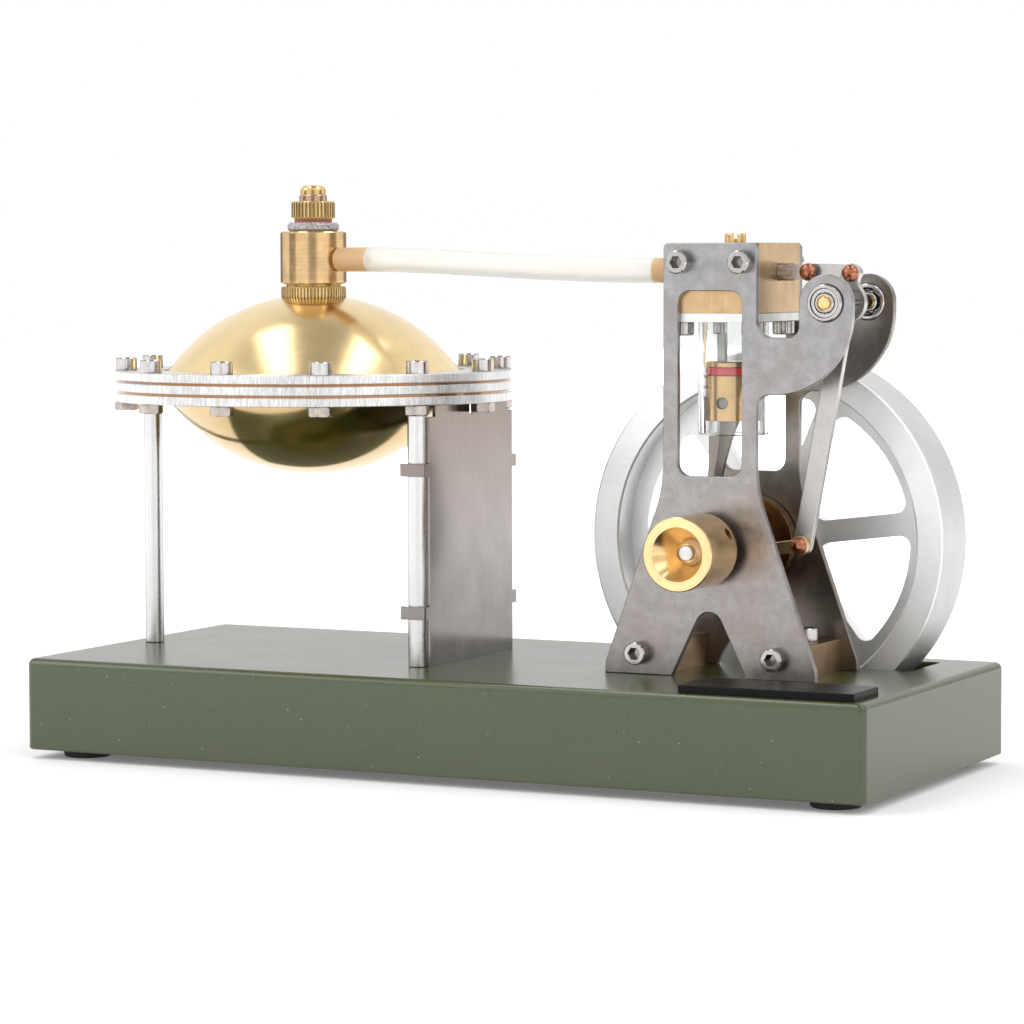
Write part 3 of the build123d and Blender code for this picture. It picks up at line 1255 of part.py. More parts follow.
with BuildPart() as valve_spool:
    with BuildSketch(Plane(origin=(ENGINE_X + SPOOL_START, 0, VALVE_Z), x_dir=(0, 1, 0), z_dir=(1, 0, 0))):
        Circle(SPOOL_R)
    extrude(amount=TANG_START - SPOOL_START)
    with BuildSketch(Plane(origin=(ENGINE_X - SPOOL_WAIST, 0, VALVE_Z), x_dir=(0, 1, 0), z_dir=(1, 0, 0))):
        Circle(SPOOL_R + 1)
        Circle(SPOOL_WAIST_R, mode=Mode.SUBTRACT)
    extrude(amount=2 * SPOOL_WAIST, mode=Mode.SUBTRACT)
    with BuildSketch(engine_plane(TANG_FRONT + TANG_T)):
        link_bar((TANG_START - 1, VALVE_Z), TANG_PIN, 2 * SPOOL_R - 0.6)
        with Locations(TANG_PIN):
            Circle(RIVET_R + SEAT_GAP, mode=Mode.SUBTRACT)
    extrude(amount=TANG_T)
valve_spool.part.label = "valve_spool"
export_step(valve_spool.part, "parts/valve_spool.step")

with BuildPart() as spool_rivet:
    slab(TANG_FRONT, link_back, TANG_PIN, RIVET_R)
    with Locations(facing_front(TANG_FRONT, TANG_PIN)):
        add(domed_head)
    slab(link_back, link_back + TAIL_H, TANG_PIN, TAIL_R)
spool_rivet.part.label = "spool_rivet"
export_step(spool_rivet.part, "parts/spool_rivet.step")
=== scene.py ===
"""Looks of the model steam engine: materials, fine pieces, studio floor, lights and camera.

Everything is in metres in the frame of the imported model; sizes in millimetres are multiplied by MM.
"""
import math

import bmesh
import bpy
from mathutils import Matrix, Vector


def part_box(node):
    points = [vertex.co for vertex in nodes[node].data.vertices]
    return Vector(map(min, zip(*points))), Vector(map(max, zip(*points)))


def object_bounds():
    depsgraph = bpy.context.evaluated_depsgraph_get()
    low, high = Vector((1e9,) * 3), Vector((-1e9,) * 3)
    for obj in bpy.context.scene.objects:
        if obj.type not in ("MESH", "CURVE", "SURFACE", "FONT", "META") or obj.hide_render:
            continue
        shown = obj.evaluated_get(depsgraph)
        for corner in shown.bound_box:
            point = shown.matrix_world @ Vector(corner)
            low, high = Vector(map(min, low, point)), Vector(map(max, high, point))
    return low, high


MM = 0.001
X_AXIS, Y_AXIS, Z_AXIS = 0, 1, 2

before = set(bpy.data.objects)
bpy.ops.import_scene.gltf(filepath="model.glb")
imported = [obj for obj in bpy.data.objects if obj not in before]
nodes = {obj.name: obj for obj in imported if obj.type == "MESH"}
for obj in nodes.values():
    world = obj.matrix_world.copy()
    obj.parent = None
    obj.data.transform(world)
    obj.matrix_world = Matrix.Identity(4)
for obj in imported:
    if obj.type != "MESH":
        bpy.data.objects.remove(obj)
cad_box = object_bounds()


# ------------------------------------------------------------------ where things are
def centre_of(node):
    """Middle of a CAD node's box."""
    low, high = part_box(node)
    return (low + high) / 2


crank_axis = centre_of("flywheel")
boiler_axis = centre_of("upper_ring")
cylinder_axis = centre_of("glass_cylinder")
rocker_axis = centre_of("rocker_shaft")
sheave_axis = centre_of("eccentric_sheave")
pin_axis = centre_of("big_end_bush")


# ------------------------------------------------------------------ node helpers
class Shader:
    """Small wrapper that builds a node material around one Principled shader."""

    def __init__(self, name):
        self.material = bpy.data.materials.new(name)
        self.material.use_nodes = True
        self.tree = self.material.node_tree
        self.bsdf = self.tree.nodes["Principled BSDF"]
        self.coords = self.tree.nodes.new("ShaderNodeTexCoord").outputs["Object"]

    def node(self, kind, **values):
        """A new node with its properties and inputs set by name."""
        made = self.tree.nodes.new(kind)
        for key, value in values.items():
            if key in made.inputs:
                self.feed(made.inputs[key], value)
            else:
                setattr(made, key, value)
        return made

    def feed(self, socket, value):
        """Links an output to the socket, or sets the socket's value."""
        if isinstance(value, bpy.types.NodeSocket):
            self.tree.links.new(value, socket)
        elif socket.type == "RGBA" and len(value) == 3:
            socket.default_value = (*value, 1)
        else:
            socket.default_value = value

    def set(self, **values):
        """Sets inputs of the Principled shader; underscores stand for spaces."""
        for key, value in values.items():
            self.feed(self.bsdf.inputs[key.replace("_", " ")], value)

    def math(self, operation, a, b=0.0, clamp=False):
        made = self.tree.nodes.new("ShaderNodeMath")
        made.operation = operation
        made.use_clamp = clamp
        self.feed(made.inputs[0], a)
        self.feed(made.inputs[1], b)
        return made.outputs[0]

    def scaled(self, vector, scale, offset=(0, 0, 0)):
        """The vector moved by -offset and then scaled."""
        moved = self.tree.nodes.new("ShaderNodeVectorMath")
        moved.operation = "SUBTRACT"
        self.feed(moved.inputs[0], vector)
        moved.inputs[1].default_value = offset
        made = self.tree.nodes.new("ShaderNodeVectorMath")
        made.operation = "MULTIPLY"
        self.feed(made.inputs[0], moved.outputs[0])
        made.inputs[1].default_value = scale
        return made.outputs[0]

    def noise(self, vector, scale, detail=3.0, roughness=0.5, distortion=0.0):
        made = self.node("ShaderNodeTexNoise", Vector=vector, Scale=scale, Detail=detail,
                         Roughness=roughness, Distortion=distortion)
        return made.outputs["Fac"]

    def map_range(self, value, start, end, low, high):
        """Number that goes evenly from low to high as value goes from start to end."""
        made = self.node("ShaderNodeMapRange", Value=value)
        made.inputs["From Min"].default_value = start
        made.inputs["From Max"].default_value = end
        made.inputs["To Min"].default_value = low
        made.inputs["To Max"].default_value = high
        return made.outputs["Result"]

    def remap(self, value, low, high):
        """Number between low and high as value goes from 0 to 1."""
        return self.map_range(value, 0.0, 1.0, low, high)

    def remap_clamped(self, value, low, high):
        """Smooth step from 0 where value is low to 1 where it is high; low may be the larger."""
        made = self.node("ShaderNodeMapRange", Value=value, interpolation_type="SMOOTHSTEP")
        made.inputs["From Min"].default_value = low
        made.inputs["From Max"].default_value = high
        return made.outputs["Result"]

    def mix(self, factor, a, b, blend="MIX"):
        made = self.tree.nodes.new("ShaderNodeMix")
        made.data_type = "RGBA"
        made.blend_type = blend
        self.feed(made.inputs[0], factor)
        self.feed(made.inputs[6], a)
        self.feed(made.inputs[7], b)
        return made.outputs[2]

    def bump(self, height, depth, under=None):
        """Bump of a real depth in metres."""
        made = self.node("ShaderNodeBump", Height=height, Strength=1.0, Distance=depth)
        if under is not None:
            self.feed(made.inputs["Normal"], under)
        return made.outputs["Normal"]

    def radius(self, centre, axis):
        """Distance from a line through centre along axis, and the position along it, in metres."""
        moved = self.scaled(self.coords, (1, 1, 1), centre)
        split = self.node("ShaderNodeSeparateXYZ", Vector=moved).outputs
        across = [split[i] for i in range(3) if i != axis]
        squares = self.math("ADD", self.math("MULTIPLY", across[0], across[0]),
                            self.math("MULTIPLY", across[1], across[1]))
        return self.math("SQRT", squares), split[axis]

    def height(self):
        """Height above the model's origin, in metres."""
        return self.node("ShaderNodeSeparateXYZ", Vector=self.coords).outputs["Z"]

    def base_tone(self):
        """The output that colours the Principled shader so far."""
        return self.bsdf.inputs["Base Color"].links[0].from_socket

    def edge_wear(self, radius):
        """About 1 on sharp convex edges and 0 on flats."""
        bevel = self.node("ShaderNodeBevel", samples=4, Radius=radius)
        geometry = self.tree.nodes.new("ShaderNodeNewGeometry").outputs["Normal"]
        turned = self.tree.nodes.new("ShaderNodeVectorMath")
        turned.operation = "DOT_PRODUCT"
        self.feed(turned.inputs[0], bevel.outputs["Normal"])
        self.feed(turned.inputs[1], geometry)
        return self.remap(turned.outputs["Value"], 1.0, 0.0), bevel.outputs["Normal"]


def rounded_normal(shader, radius):
    """Normal that rounds off sharp edges in the shading."""
    return shader.node("ShaderNodeBevel", samples=4, Radius=radius).outputs["Normal"]


# ------------------------------------------------------------------ patterns of worked metal
def rings_about(shader, centre, axis, pitch):
    """Lathe lines: they run round the axis and change with radius and height."""
    radius, height = shader.radius(centre, axis)
    wobble = shader.noise(shader.coords, 60.0, detail=1.0)
    lifted = shader.math("ADD", height, shader.math("MULTIPLY", wobble, 0.3 * MM))
    place = shader.node("ShaderNodeCombineXYZ", X=radius, Y=lifted)
    return shader.noise(place.outputs[0], 1 / pitch, detail=4.0, roughness=0.65)


def strokes_along(shader, centre, axis, pitch, length):
    """Sanding strokes parallel to the axis, on a round face."""
    radius, height = shader.radius(centre, axis)
    moved = shader.scaled(shader.coords, (1, 1, 1), centre)
    split = shader.node("ShaderNodeSeparateXYZ", Vector=moved).outputs
    across = [split[i] for i in range(3) if i != axis]
    a = shader.math("DIVIDE", across[0], radius)
    b = shader.math("DIVIDE", across[1], radius)
    reference = 50 * MM         # radius at which a stroke is one pitch wide
    place = shader.node("ShaderNodeCombineXYZ",
                        X=shader.math("MULTIPLY", a, reference / pitch),
                        Y=shader.math("MULTIPLY", b, reference / pitch),
                        Z=shader.math("DIVIDE", height, length))
    return shader.noise(place.outputs[0], 1.0, detail=4.0, roughness=0.7)


def streaks(shader, sizes, detail=4.0):
    """Straight strokes: noise whose grains have these sizes along X, Y and Z."""
    stretched = shader.scaled(shader.coords, tuple(1 / s for s in sizes))
    return shader.noise(stretched, 1.0, detail=detail, roughness=0.65)


def tangent_about(shader, centre, axis):
    """World direction round the axis, for the stretched highlights of lathe work."""
    line = [0, 0, 0]
    line[axis] = 1
    cross = shader.tree.nodes.new("ShaderNodeVectorMath")
    cross.operation = "CROSS_PRODUCT"
    cross.inputs[0].default_value = line
    shader.feed(cross.inputs[1], shader.scaled(shader.coords, (1, 1, 1), centre))
    turned = shader.node("ShaderNodeVectorTransform", vector_type="VECTOR",
                         convert_from="OBJECT", convert_to="WORLD", Vector=cross.outputs[0])
    return turned.outputs[0]


CREVICE_SHADE_TONE = 0.12                 # brightness left in crevices by the painted shade
RIM_SHADE_TONE = 0.2              # brightness left by the painted shade where a round face turns away
WORN = 1.35                 # how much brighter rubbed edges are


def scaled_colour(colour, factor):
    """The colour times a factor, no brighter than white."""
    return tuple(min(1.0, c * factor) for c in colour)


def metal(name, colour, rough, shade=0.15, patch=9 * MM, lines=None, depth=0.0,
          stain=None, stain_amount=0.3, edge=0.18 * MM, grain=0.25 * MM, grain_depth=0.0015 * MM,
          line_tone=0.12, crevice=0.0, broad=0.0, rim=0.0):
    """A worn metal: patchy tone and roughness, stains, cut lines, shiny edges and painted shade in
    crevices.

    broad is the width of a slow wave in the surface; rim paints shade on faces that turn away from the
    camera.
    """
    shader = Shader(name)
    cloud = shader.noise(shader.coords, 1 / patch, detail=5.0, roughness=0.62)
    fine = shader.noise(shader.coords, 1 / grain, detail=2.0)
    tone = shader.mix(shader.remap_clamped(cloud, 0.3, 0.7),
                      scaled_colour(colour, 1 - shade), scaled_colour(colour, 1 + shade))
    if stain is not None:
        spots = shader.noise(shader.coords, 0.45 / patch, detail=3.0, distortion=0.6)
        covered = shader.math("MULTIPLY", shader.remap_clamped(spots, 0.5, 0.72), stain_amount)
        tone = shader.mix(covered, tone, stain)
    cut = fine if lines is None else lines(shader)
    tone = shader.mix(shader.remap_clamped(cut, 0.35, 0.65),
                      shader.mix(line_tone, tone, (0, 0, 0)), tone)
    wear, soft = shader.edge_wear(edge)
    tone = shader.mix(shader.math("MULTIPLY", wear, 0.6, clamp=True), tone,
                      scaled_colour(colour, WORN))
    if crevice:
        # painted shade: ambient occlusion darkens the colour in crevices, sockets and grooves
        open_sky = shader.node("ShaderNodeAmbientOcclusion", samples=4, Distance=crevice).outputs["AO"]
        crevice_shade = shader.remap_clamped(open_sky, 0.85, 0.25)
        tone = shader.mix(shader.math("MULTIPLY", crevice_shade, 0.8), tone, scaled_colour(colour, CREVICE_SHADE_TONE))
    if rim:
        # painted shade: the colour darkens where a face is seen edge-on
        grazing = shader.node("ShaderNodeLayerWeight", Blend=0.5).outputs["Facing"]
        shade_off = shader.math("MULTIPLY", shader.remap_clamped(grazing, 0.35, 0.85), rim)
        tone = shader.mix(shade_off, tone, scaled_colour(colour, RIM_SHADE_TONE))
    mixed = shader.math("ADD", shader.math("MULTIPLY", cut, 0.5), shader.math("MULTIPLY", cloud, 0.5))
    roughness = shader.map_range(mixed, 0.3, 0.7, *rough)
    normal = shader.bump(fine, grain_depth, under=soft)
    if broad:
        wave = streaks(shader, (broad, broad, 12 * broad), detail=1.0)
        normal = shader.bump(wave, 0.03 * broad, under=normal)
    if depth:
        normal = shader.bump(cut, depth, under=normal)
    shader.set(Base_Color=tone, Metallic=1.0, Roughness=roughness, Normal=normal)
    return shader


# ------------------------------------------------------------------ colours of the materials
BRASS = (0.84, 0.575, 0.26)
SOFT_BRASS = (0.57, 0.395, 0.215)
STEEL = (0.36, 0.343, 0.342)
SILVER = (0.74, 0.74, 0.735)
COPPER = (0.44, 0.17, 0.10)
CAMERA_RIGHT = Vector((0.896, 0.443, 0.0))


def turned(name, colour, rough, centre, axis, pitch=0.22 * MM, depth=0.0025 * MM, stretch=0.55, **more):
    """Metal off the lathe, with rings and stretched highlights about an axis."""
    shader = metal(name, colour, rough, lines=lambda s: rings_about(s, centre, axis, pitch),
                   depth=depth, **more)
    shader.set(Anisotropic=stretch, Tangent=tangent_about(shader, centre, axis))
    return shader.material


RACE_GAP_SHADES = ((2.72 * MM, 0.16 * MM), (3.76 * MM, 0.14 * MM))      # radius and half width of each painted band of shade in the gaps between the rings


def race_steel():
    """Bright bearing races with painted shade: dark bands at the gaps between the rings."""
    shader = metal("race_steel", (0.52, 0.50, 0.49), (0.12, 0.22), shade=0.08,
                   lines=lambda s: rings_about(s, rocker_axis, Y_AXIS, 0.15 * MM), depth=0.002 * MM)
    shader.set(Anisotropic=0.4, Tangent=tangent_about(shader, rocker_axis, Y_AXIS))
    radius = shader.radius(rocker_axis, Y_AXIS)[0]
    tone = shader.base_tone()
    for groove, half_width in RACE_GAP_SHADES:
        # painted shade: a near-black band at each gap between the rings
        off = shader.math("ABSOLUTE", shader.math("SUBTRACT", radius, groove))
        dark = shader.remap_clamped(off, half_width, 0.5 * half_width)
        tone = shader.mix(dark, tone, (0.05, 0.04, 0.035))
    shader.set(Base_Color=tone)
    return shader.material


def fitting_brass():
    """Polished fitting brass; the collar under the valve's nub is dull and pinkish."""
    shader = metal("brass_fitting", (0.80, 0.57, 0.25), (0.09, 0.16), shade=0.05,
                   lines=lambda s: rings_about(s, boiler_axis, Z_AXIS, 0.22 * MM), depth=0.0005 * MM,
                   grain_depth=0.0005 * MM, crevice=0.9 * MM)
    height = shader.height()
    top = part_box("filler_plug")[1].z
    collar_height = 1.82 * MM
    margin = 0.02 * MM
    collar = shader.math("MULTIPLY", shader.math("LESS_THAN", height, top + margin),
                         shader.math("GREATER_THAN", height, top - collar_height))
    tone = shader.base_tone()
    shader.set(Base_Color=shader.mix(collar, tone, (0.56, 0.36, 0.25)))
    return shader.material


def powder_coat():
    """Olive green powder coat: orange peel, a little dust and paler rubbed edges."""
    shader = Shader("green_powder_coat")
    peel = shader.noise(shader.coords, 1 / (0.6 * MM), detail=2.5, roughness=0.45)
    pebble = shader.node("ShaderNodeTexVoronoi", Vector=shader.coords, Scale=1 / (0.5 * MM),
                         feature="SMOOTH_F1").outputs["Distance"]
    cloud = shader.noise(shader.coords, 1 / (22 * MM), detail=5.0, roughness=0.6)
    tone = shader.mix(shader.remap_clamped(cloud, 0.3, 0.7),
                      (0.033, 0.049, 0.005), (0.039, 0.055, 0.008))
    tone = shader.mix(shader.remap_clamped(peel, 0.35, 0.65), tone,
                      shader.mix(0.35, tone, (0.056, 0.077, 0.020)))
    speck = shader.node("ShaderNodeTexVoronoi", Vector=shader.coords, Scale=1 / (4.0 * MM),
                        Randomness=1.0).outputs["Distance"]
    dust = shader.math("LESS_THAN", speck, 0.035)
    tone = shader.mix(dust, tone, (0.45, 0.46, 0.42))
    wear, soft = shader.edge_wear(0.5 * MM)
    tone = shader.mix(shader.math("MULTIPLY", wear, 0.5, clamp=True), tone, (0.13, 0.155, 0.09))
    normal = shader.bump(pebble, 0.008 * MM, under=soft)
    normal = shader.bump(peel, 0.012 * MM, under=normal)
    roughness = shader.remap(cloud, 0.20, 0.28)
    shader.set(Base_Color=tone, Roughness=roughness, Normal=normal, Specular_IOR_Level=0.95)
    return shader.material


def rubber(name, colour, rough):
    """Matt rubber with a fine moulded grain."""
    shader = Shader(name)
    grain = shader.noise(shader.coords, 1 / (0.3 * MM), detail=3.0)
    cloud = shader.noise(shader.coords, 1 / (6 * MM), detail=3.0)
    light = tuple(c * 1.5 + 0.01 for c in colour)
    tone = shader.mix(shader.remap_clamped(cloud, 0.3, 0.7), colour, light)
    shader.set(Base_Color=tone, Roughness=shader.remap(grain, rough - 0.1, rough + 0.1),
               Normal=shader.bump(grain, 0.02 * MM, under=rounded_normal(shader, 0.3 * MM)))
    return shader.material


def black_plate():
    """Gloss black anodised plate with hairline marks."""
    shader = Shader("black_plate")
    hair = streaks(shader, (6 * MM, 0.12 * MM, 0.12 * MM))
    cloud = shader.noise(shader.coords, 1 / (7 * MM), detail=4.0)
    tone = shader.mix(shader.remap_clamped(hair, 0.45, 0.75), (0.004, 0.004, 0.004), (0.009, 0.009, 0.010))
    shader.set(Base_Color=tone, Roughness=shader.remap(cloud, 0.25, 0.42), Specular_IOR_Level=0.12,
               Normal=shader.bump(hair, 0.003 * MM, under=rounded_normal(shader, 0.25 * MM)))
    return shader.material


def glass():
    """Clear glass tube with a faint streak of oil."""
    shader = Shader("clear_glass")
    smear = streaks(shader, (3 * MM, 3 * MM, 14 * MM), detail=3.0)
    shader.set(Base_Color=shader.mix(smear, (0.95, 0.965, 0.965), (0.91, 0.93, 0.935)), IOR=1.46,
               Transmission_Weight=1.0, Roughness=shader.remap(smear, 0.0, 0.05),
               Normal=shader.bump(smear, 0.01 * MM))
    return shader.material


def silicone():
    """Milky translucent tube with a faint painted glow; the brass nipples inside its two ends tint it
    amber.
    """
    shader = Shader("clear_silicone")
    cloud = shader.noise(shader.scaled(shader.coords, (0.25, 1, 1)), 1 / (4 * MM), detail=3.0)
    skin = shader.noise(shader.coords, 1 / (0.5 * MM), detail=2.0)
    along = shader.node("ShaderNodeSeparateXYZ", Vector=shader.coords).outputs["X"]
    fade = 0.4 * MM
    inset = 0.3 * MM
    near_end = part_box("outlet_nipple")[1].x - inset
    far_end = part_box("engine_nipple")[0].x + inset
    near = shader.remap_clamped(along, near_end + fade, near_end - fade)
    far = shader.remap_clamped(along, far_end - fade, far_end + fade)
    filled = shader.math("MAXIMUM", near, far)
    tone = shader.mix(cloud, (1.0, 0.995, 0.975), (0.99, 0.98, 0.93))
    tone = shader.mix(filled, tone, shader.mix(cloud, (0.86, 0.62, 0.34), (0.74, 0.50, 0.26)))
    # painted glow: a faint emission in the tube's colour, amber at the ends
    shader.set(Base_Color=tone, IOR=1.41, Emission_Color=tone, Emission_Strength=0.02)
    shader.set(Transmission_Weight=shader.remap(filled, 0.60, 0.45),
               Roughness=shader.remap(skin, 0.30, 0.42), Normal=shader.bump(skin, 0.004 * MM))
    return shader.material


def red_silicone():
    """Glossy red seal ring."""
    shader = Shader("red_silicone")
    grain = shader.noise(shader.coords, 1 / (0.6 * MM), detail=3.0)
    shader.set(Base_Color=shader.mix(grain, (0.86, 0.022, 0.012), (0.95, 0.04, 0.022)),
               Roughness=shader.remap(grain, 0.28, 0.42), Normal=shader.bump(grain, 0.01 * MM),
               Coat_Weight=0.3, Coat_Roughness=0.2)
    return shader.material


def red_fibre():
    """Vulcanised fibre sealing ring."""
    shader = Shader("red_fibre")
    layer = streaks(shader, (2 * MM, 2 * MM, 0.12 * MM))
    shader.set(Base_Color=shader.mix(layer, (0.26, 0.07, 0.04), (0.42, 0.13, 0.08)),
               Roughness=shader.remap(layer, 0.5, 0.7), Normal=shader.bump(layer, 0.02 * MM))
    return shader.material


def grey_washer():
    """Mottled grey graphite washer with pinholes."""
    shader = Shader("grey_washer")
    grit = shader.noise(shader.coords, 1 / (0.55 * MM), detail=4.0, roughness=0.7)
    pits = shader.node("ShaderNodeTexVoronoi", Vector=shader.coords,
                       Scale=1 / (0.6 * MM)).outputs["Distance"]
    tone = shader.mix(shader.remap_clamped(grit, 0.38, 0.62), (0.20, 0.185, 0.18), (0.58, 0.56, 0.56))
    shader.set(Base_Color=tone, Metallic=0.35, Roughness=shader.remap(grit, 0.4, 0.7),
               Normal=shader.bump(pits, 0.05 * MM, under=shader.bump(grit, 0.04 * MM)))
    return shader.material


def plate_steel(name, colour):
    """Tumbled steel sheet: blotchy, cooler at the top, with a fine tooth and tiny scratches."""
    stain = tuple(c * k for c, k in zip(colour, (0.88, 0.82, 0.77)))
    shader = metal(name, colour, (0.25, 0.38), shade=0.14, patch=4 * MM,
                   lines=lambda s: s.noise(s.coords, 1 / (0.45 * MM), detail=4.0, roughness=0.75),
                   depth=0.004 * MM, stain=stain, stain_amount=0.6)
    low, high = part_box("front_plate")
    up = shader.map_range(shader.height(), low.z, high.z, 0.0, 1.0)
    tint = shader.mix(up, (1.0, 0.955, 0.92), (0.97, 1.0, 1.02))
    metal_tone = shader.base_tone()
    scratch = streaks(shader, (5 * MM, 5 * MM, 0.25 * MM), detail=2.0)
    marks = shader.math("MULTIPLY", shader.remap_clamped(scratch, 0.70, 0.76), 0.4)
    tone = shader.mix(marks, shader.mix(1.0, metal_tone, tint, blend="MULTIPLY"), stain)
    shader.set(Base_Color=tone)
    return shader.material


def shield_steel():
    """Rolled steel sheet with faint upright streaks, a heat tint at the top and a few scratches."""
    low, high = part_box("heat_shield")
    shader = metal("shield_steel", (0.25, 0.232, 0.226), (0.12, 0.20), shade=0.10, patch=10 * MM,
                   lines=lambda s: streaks(s, (0.35 * MM, 0.35 * MM, 26 * MM)), depth=0.003 * MM)
    up = shader.map_range(shader.height(), low.z + 25 * MM, high.z, 0.0, 1.0)
    streak = streaks(shader, (1.6 * MM, 1.6 * MM, 30 * MM))
    heat = shader.math("MULTIPLY", up, shader.remap(streak, 0.5, 1.1), clamp=True)
    metal_tone = shader.base_tone()
    tone = shader.mix(shader.math("MULTIPLY", heat, 0.95), metal_tone, (0.175, 0.128, 0.098))
    scratch = streaks(shader, (0.5 * MM, 0.5 * MM, 4.5 * MM), detail=2.0)
    marks = shader.remap_clamped(scratch, 0.70, 0.76)
    tone = shader.mix(shader.math("MULTIPLY", marks, 0.7), tone, (0.10, 0.085, 0.08))
    shader.set(Base_Color=tone)
    return shader.material


def boiler_brass(name, colour, rough):
    """Spun brass, polished by hand: soft rings, cloudy patches, and a clamped rim that goes dark brown
    from 44 to 54 mm out from the axis.
    """
    shader = metal(name, colour, rough, shade=0.05, patch=16 * MM,
                   lines=lambda s: rings_about(s, boiler_axis, Z_AXIS, 0.6 * MM), depth=0.0002 * MM,
                   stain=(0.62, 0.47, 0.24), stain_amount=0.3, grain=0.4 * MM, grain_depth=0.0006 * MM,
                   line_tone=0.03)
    shader.set(Anisotropic=0.15, Tangent=tangent_about(shader, boiler_axis, Z_AXIS))
    radius = shader.radius(boiler_axis, Z_AXIS)[0]
    rim = shader.remap_clamped(radius, 44 * MM, 54 * MM)
    shader.set(Base_Color=shader.mix(rim, shader.base_tone(), (0.30, 0.16, 0.08)))
    return shader.material


def blasted_flywheel():
    """Cast and bead-blasted aluminium, with a turned tread."""
    shader = Shader("blasted_aluminium")
    low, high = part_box("flywheel")
    wheel_radius = (high.z - low.z) / 2
    radius = shader.radius(crank_axis, Y_AXIS)[0]
    beads = shader.noise(shader.coords, 1 / (0.32 * MM), detail=3.0, roughness=0.6)
    cloud = shader.noise(shader.coords, 1 / (15 * MM), detail=4.0)
    grooves = rings_about(shader, crank_axis, Y_AXIS, 0.2 * MM)
    tread_depth = 0.15 * MM
    tread = shader.math("GREATER_THAN", radius, wheel_radius - tread_depth)
    rough = shader.mix(tread, shader.remap(beads, 0.40, 0.56), shader.remap(grooves, 0.46, 0.60))
    height_map = shader.mix(tread, beads, grooves)
    tone = shader.mix(shader.remap_clamped(beads, 0.35, 0.65), (0.90, 0.90, 0.90), (0.98, 0.98, 0.98))
    tone = shader.mix(shader.remap_clamped(cloud, 0.35, 0.65), shader.mix(0.07, tone, (0, 0, 0)), tone)
    wear, soft = shader.edge_wear(0.25 * MM)
    tone = shader.mix(shader.math("MULTIPLY", wear, 0.5, clamp=True), tone, (0.97, 0.97, 0.97))
    tone = shader.mix(tread, tone, shader.mix(0.28, tone, (0, 0, 0)))
    shader.set(Base_Color=tone, Metallic=1.0, Roughness=rough,
               Normal=shader.bump(height_map, 0.014 * MM, under=soft))
    return shader.material


# ------------------------------------------------------------------ one finish for each CAD node
def paint(material, *names):
    """Gives the named CAD nodes this material."""
    for name in names:
        mesh = nodes[name].data
        mesh.materials.clear()
        mesh.materials.append(material)


paint(powder_coat(), "base_box")
paint(rubber("black_rubber", (0.018, 0.018, 0.018), 0.7), "rubber_feet")
paint(black_plate(), "nameplate")
paint(glass(), "glass_cylinder")
paint(silicone(), "steam_tube")
paint(red_silicone(), "piston_ring")
paint(red_fibre(), "fibre_ring")
paint(grey_washer(), "body_washer")
paint(plate_steel("front_steel", STEEL), "front_plate")
# painted shade: a darker copy of the plate steel for the rear plate and con rod, which sit back between
# the plates
paint(plate_steel("shaded_rear_steel", (0.29, 0.265, 0.24)), "rear_plate", "con_rod")
paint(shield_steel(), "heat_shield")
paint(blasted_flywheel(), "flywheel")
paint(boiler_brass("satin_brass_upper", (0.86, 0.66, 0.35), (0.19, 0.23)), "upper_dish")
paint(boiler_brass("satin_brass_lower", (0.84, 0.62, 0.33), (0.08, 0.15)), "lower_dish")

paint(metal("bright_lever", (0.53, 0.51, 0.50), (0.26, 0.40), shade=0.08, patch=6 * MM,
            lines=lambda s: streaks(s, (0.25 * MM, 0.25 * MM, 7 * MM)), depth=0.004 * MM).material,
      "valve_lever", "valve_link")
paint(metal("brushed_rim", (0.79, 0.785, 0.78), (0.24, 0.42), shade=0.08, patch=12 * MM,
            lines=lambda s: strokes_along(s, boiler_axis, Z_AXIS, 0.4 * MM, 4 * MM),
            depth=0.006 * MM, line_tone=0.34).material,
      "lower_ring", "middle_ring", "upper_ring")
paint(metal("satin_posts", (0.66, 0.66, 0.655), (0.20, 0.30), shade=0.05, patch=5 * MM,
            grain_depth=0.0006 * MM, rim=0.8).material,
      "boiler_posts")
paint(turned("turned_flange", SILVER, (0.28, 0.42), cylinder_axis, Z_AXIS), "cylinder_flange")
paint(metal("stainless", (0.54, 0.515, 0.50), (0.07, 0.12), shade=0.06, patch=2.5 * MM,
            grain_depth=0.0002 * MM, crevice=2.4 * MM, broad=1.6 * MM, rim=0.6).material,
      "ring_bolts", "post_screws", "plate_screws", "foot_block_screws", "flange_screws")
paint(metal("dark_steel", (0.42, 0.375, 0.34), (0.16, 0.26), shade=0.2, patch=2.2 * MM,
            grain_depth=0.0006 * MM, crevice=1.2 * MM).material,
      "ring_nuts", "set_screws")
paint(metal("ball_steel", (0.62, 0.61, 0.60), (0.04, 0.10), shade=0.05, patch=1.2 * MM).material,
      "bearing_balls")
paint(metal("spring_steel", (0.52, 0.51, 0.50), (0.15, 0.28), patch=2 * MM).material, "safety_spring")
paint(turned("ground_steel", (0.46, 0.43, 0.41), (0.30, 0.38), centre_of("valve_spool"), X_AXIS,
             pitch=0.5 * MM, depth=0.001 * MM, crevice=0.8 * MM, rim=0.8), "valve_spool")
# painted shade: both pins get a dark steel so the wrist pin's recessed end looks shaded
paint(turned("shaded_pin", (0.24, 0.225, 0.215), (0.24, 0.36), centre_of("wrist_pin"), Y_AXIS,
             crevice=0.8 * MM), "wrist_pin", "crank_pin")
paint(turned("shaft_steel", (0.62, 0.60, 0.58), (0.18, 0.30), crank_axis, Y_AXIS),
      "crank_shafts", "crank_bearing_inners")
paint(race_steel(), "bearing_outers", "rocker_bearing_inners", "rocker_collar")

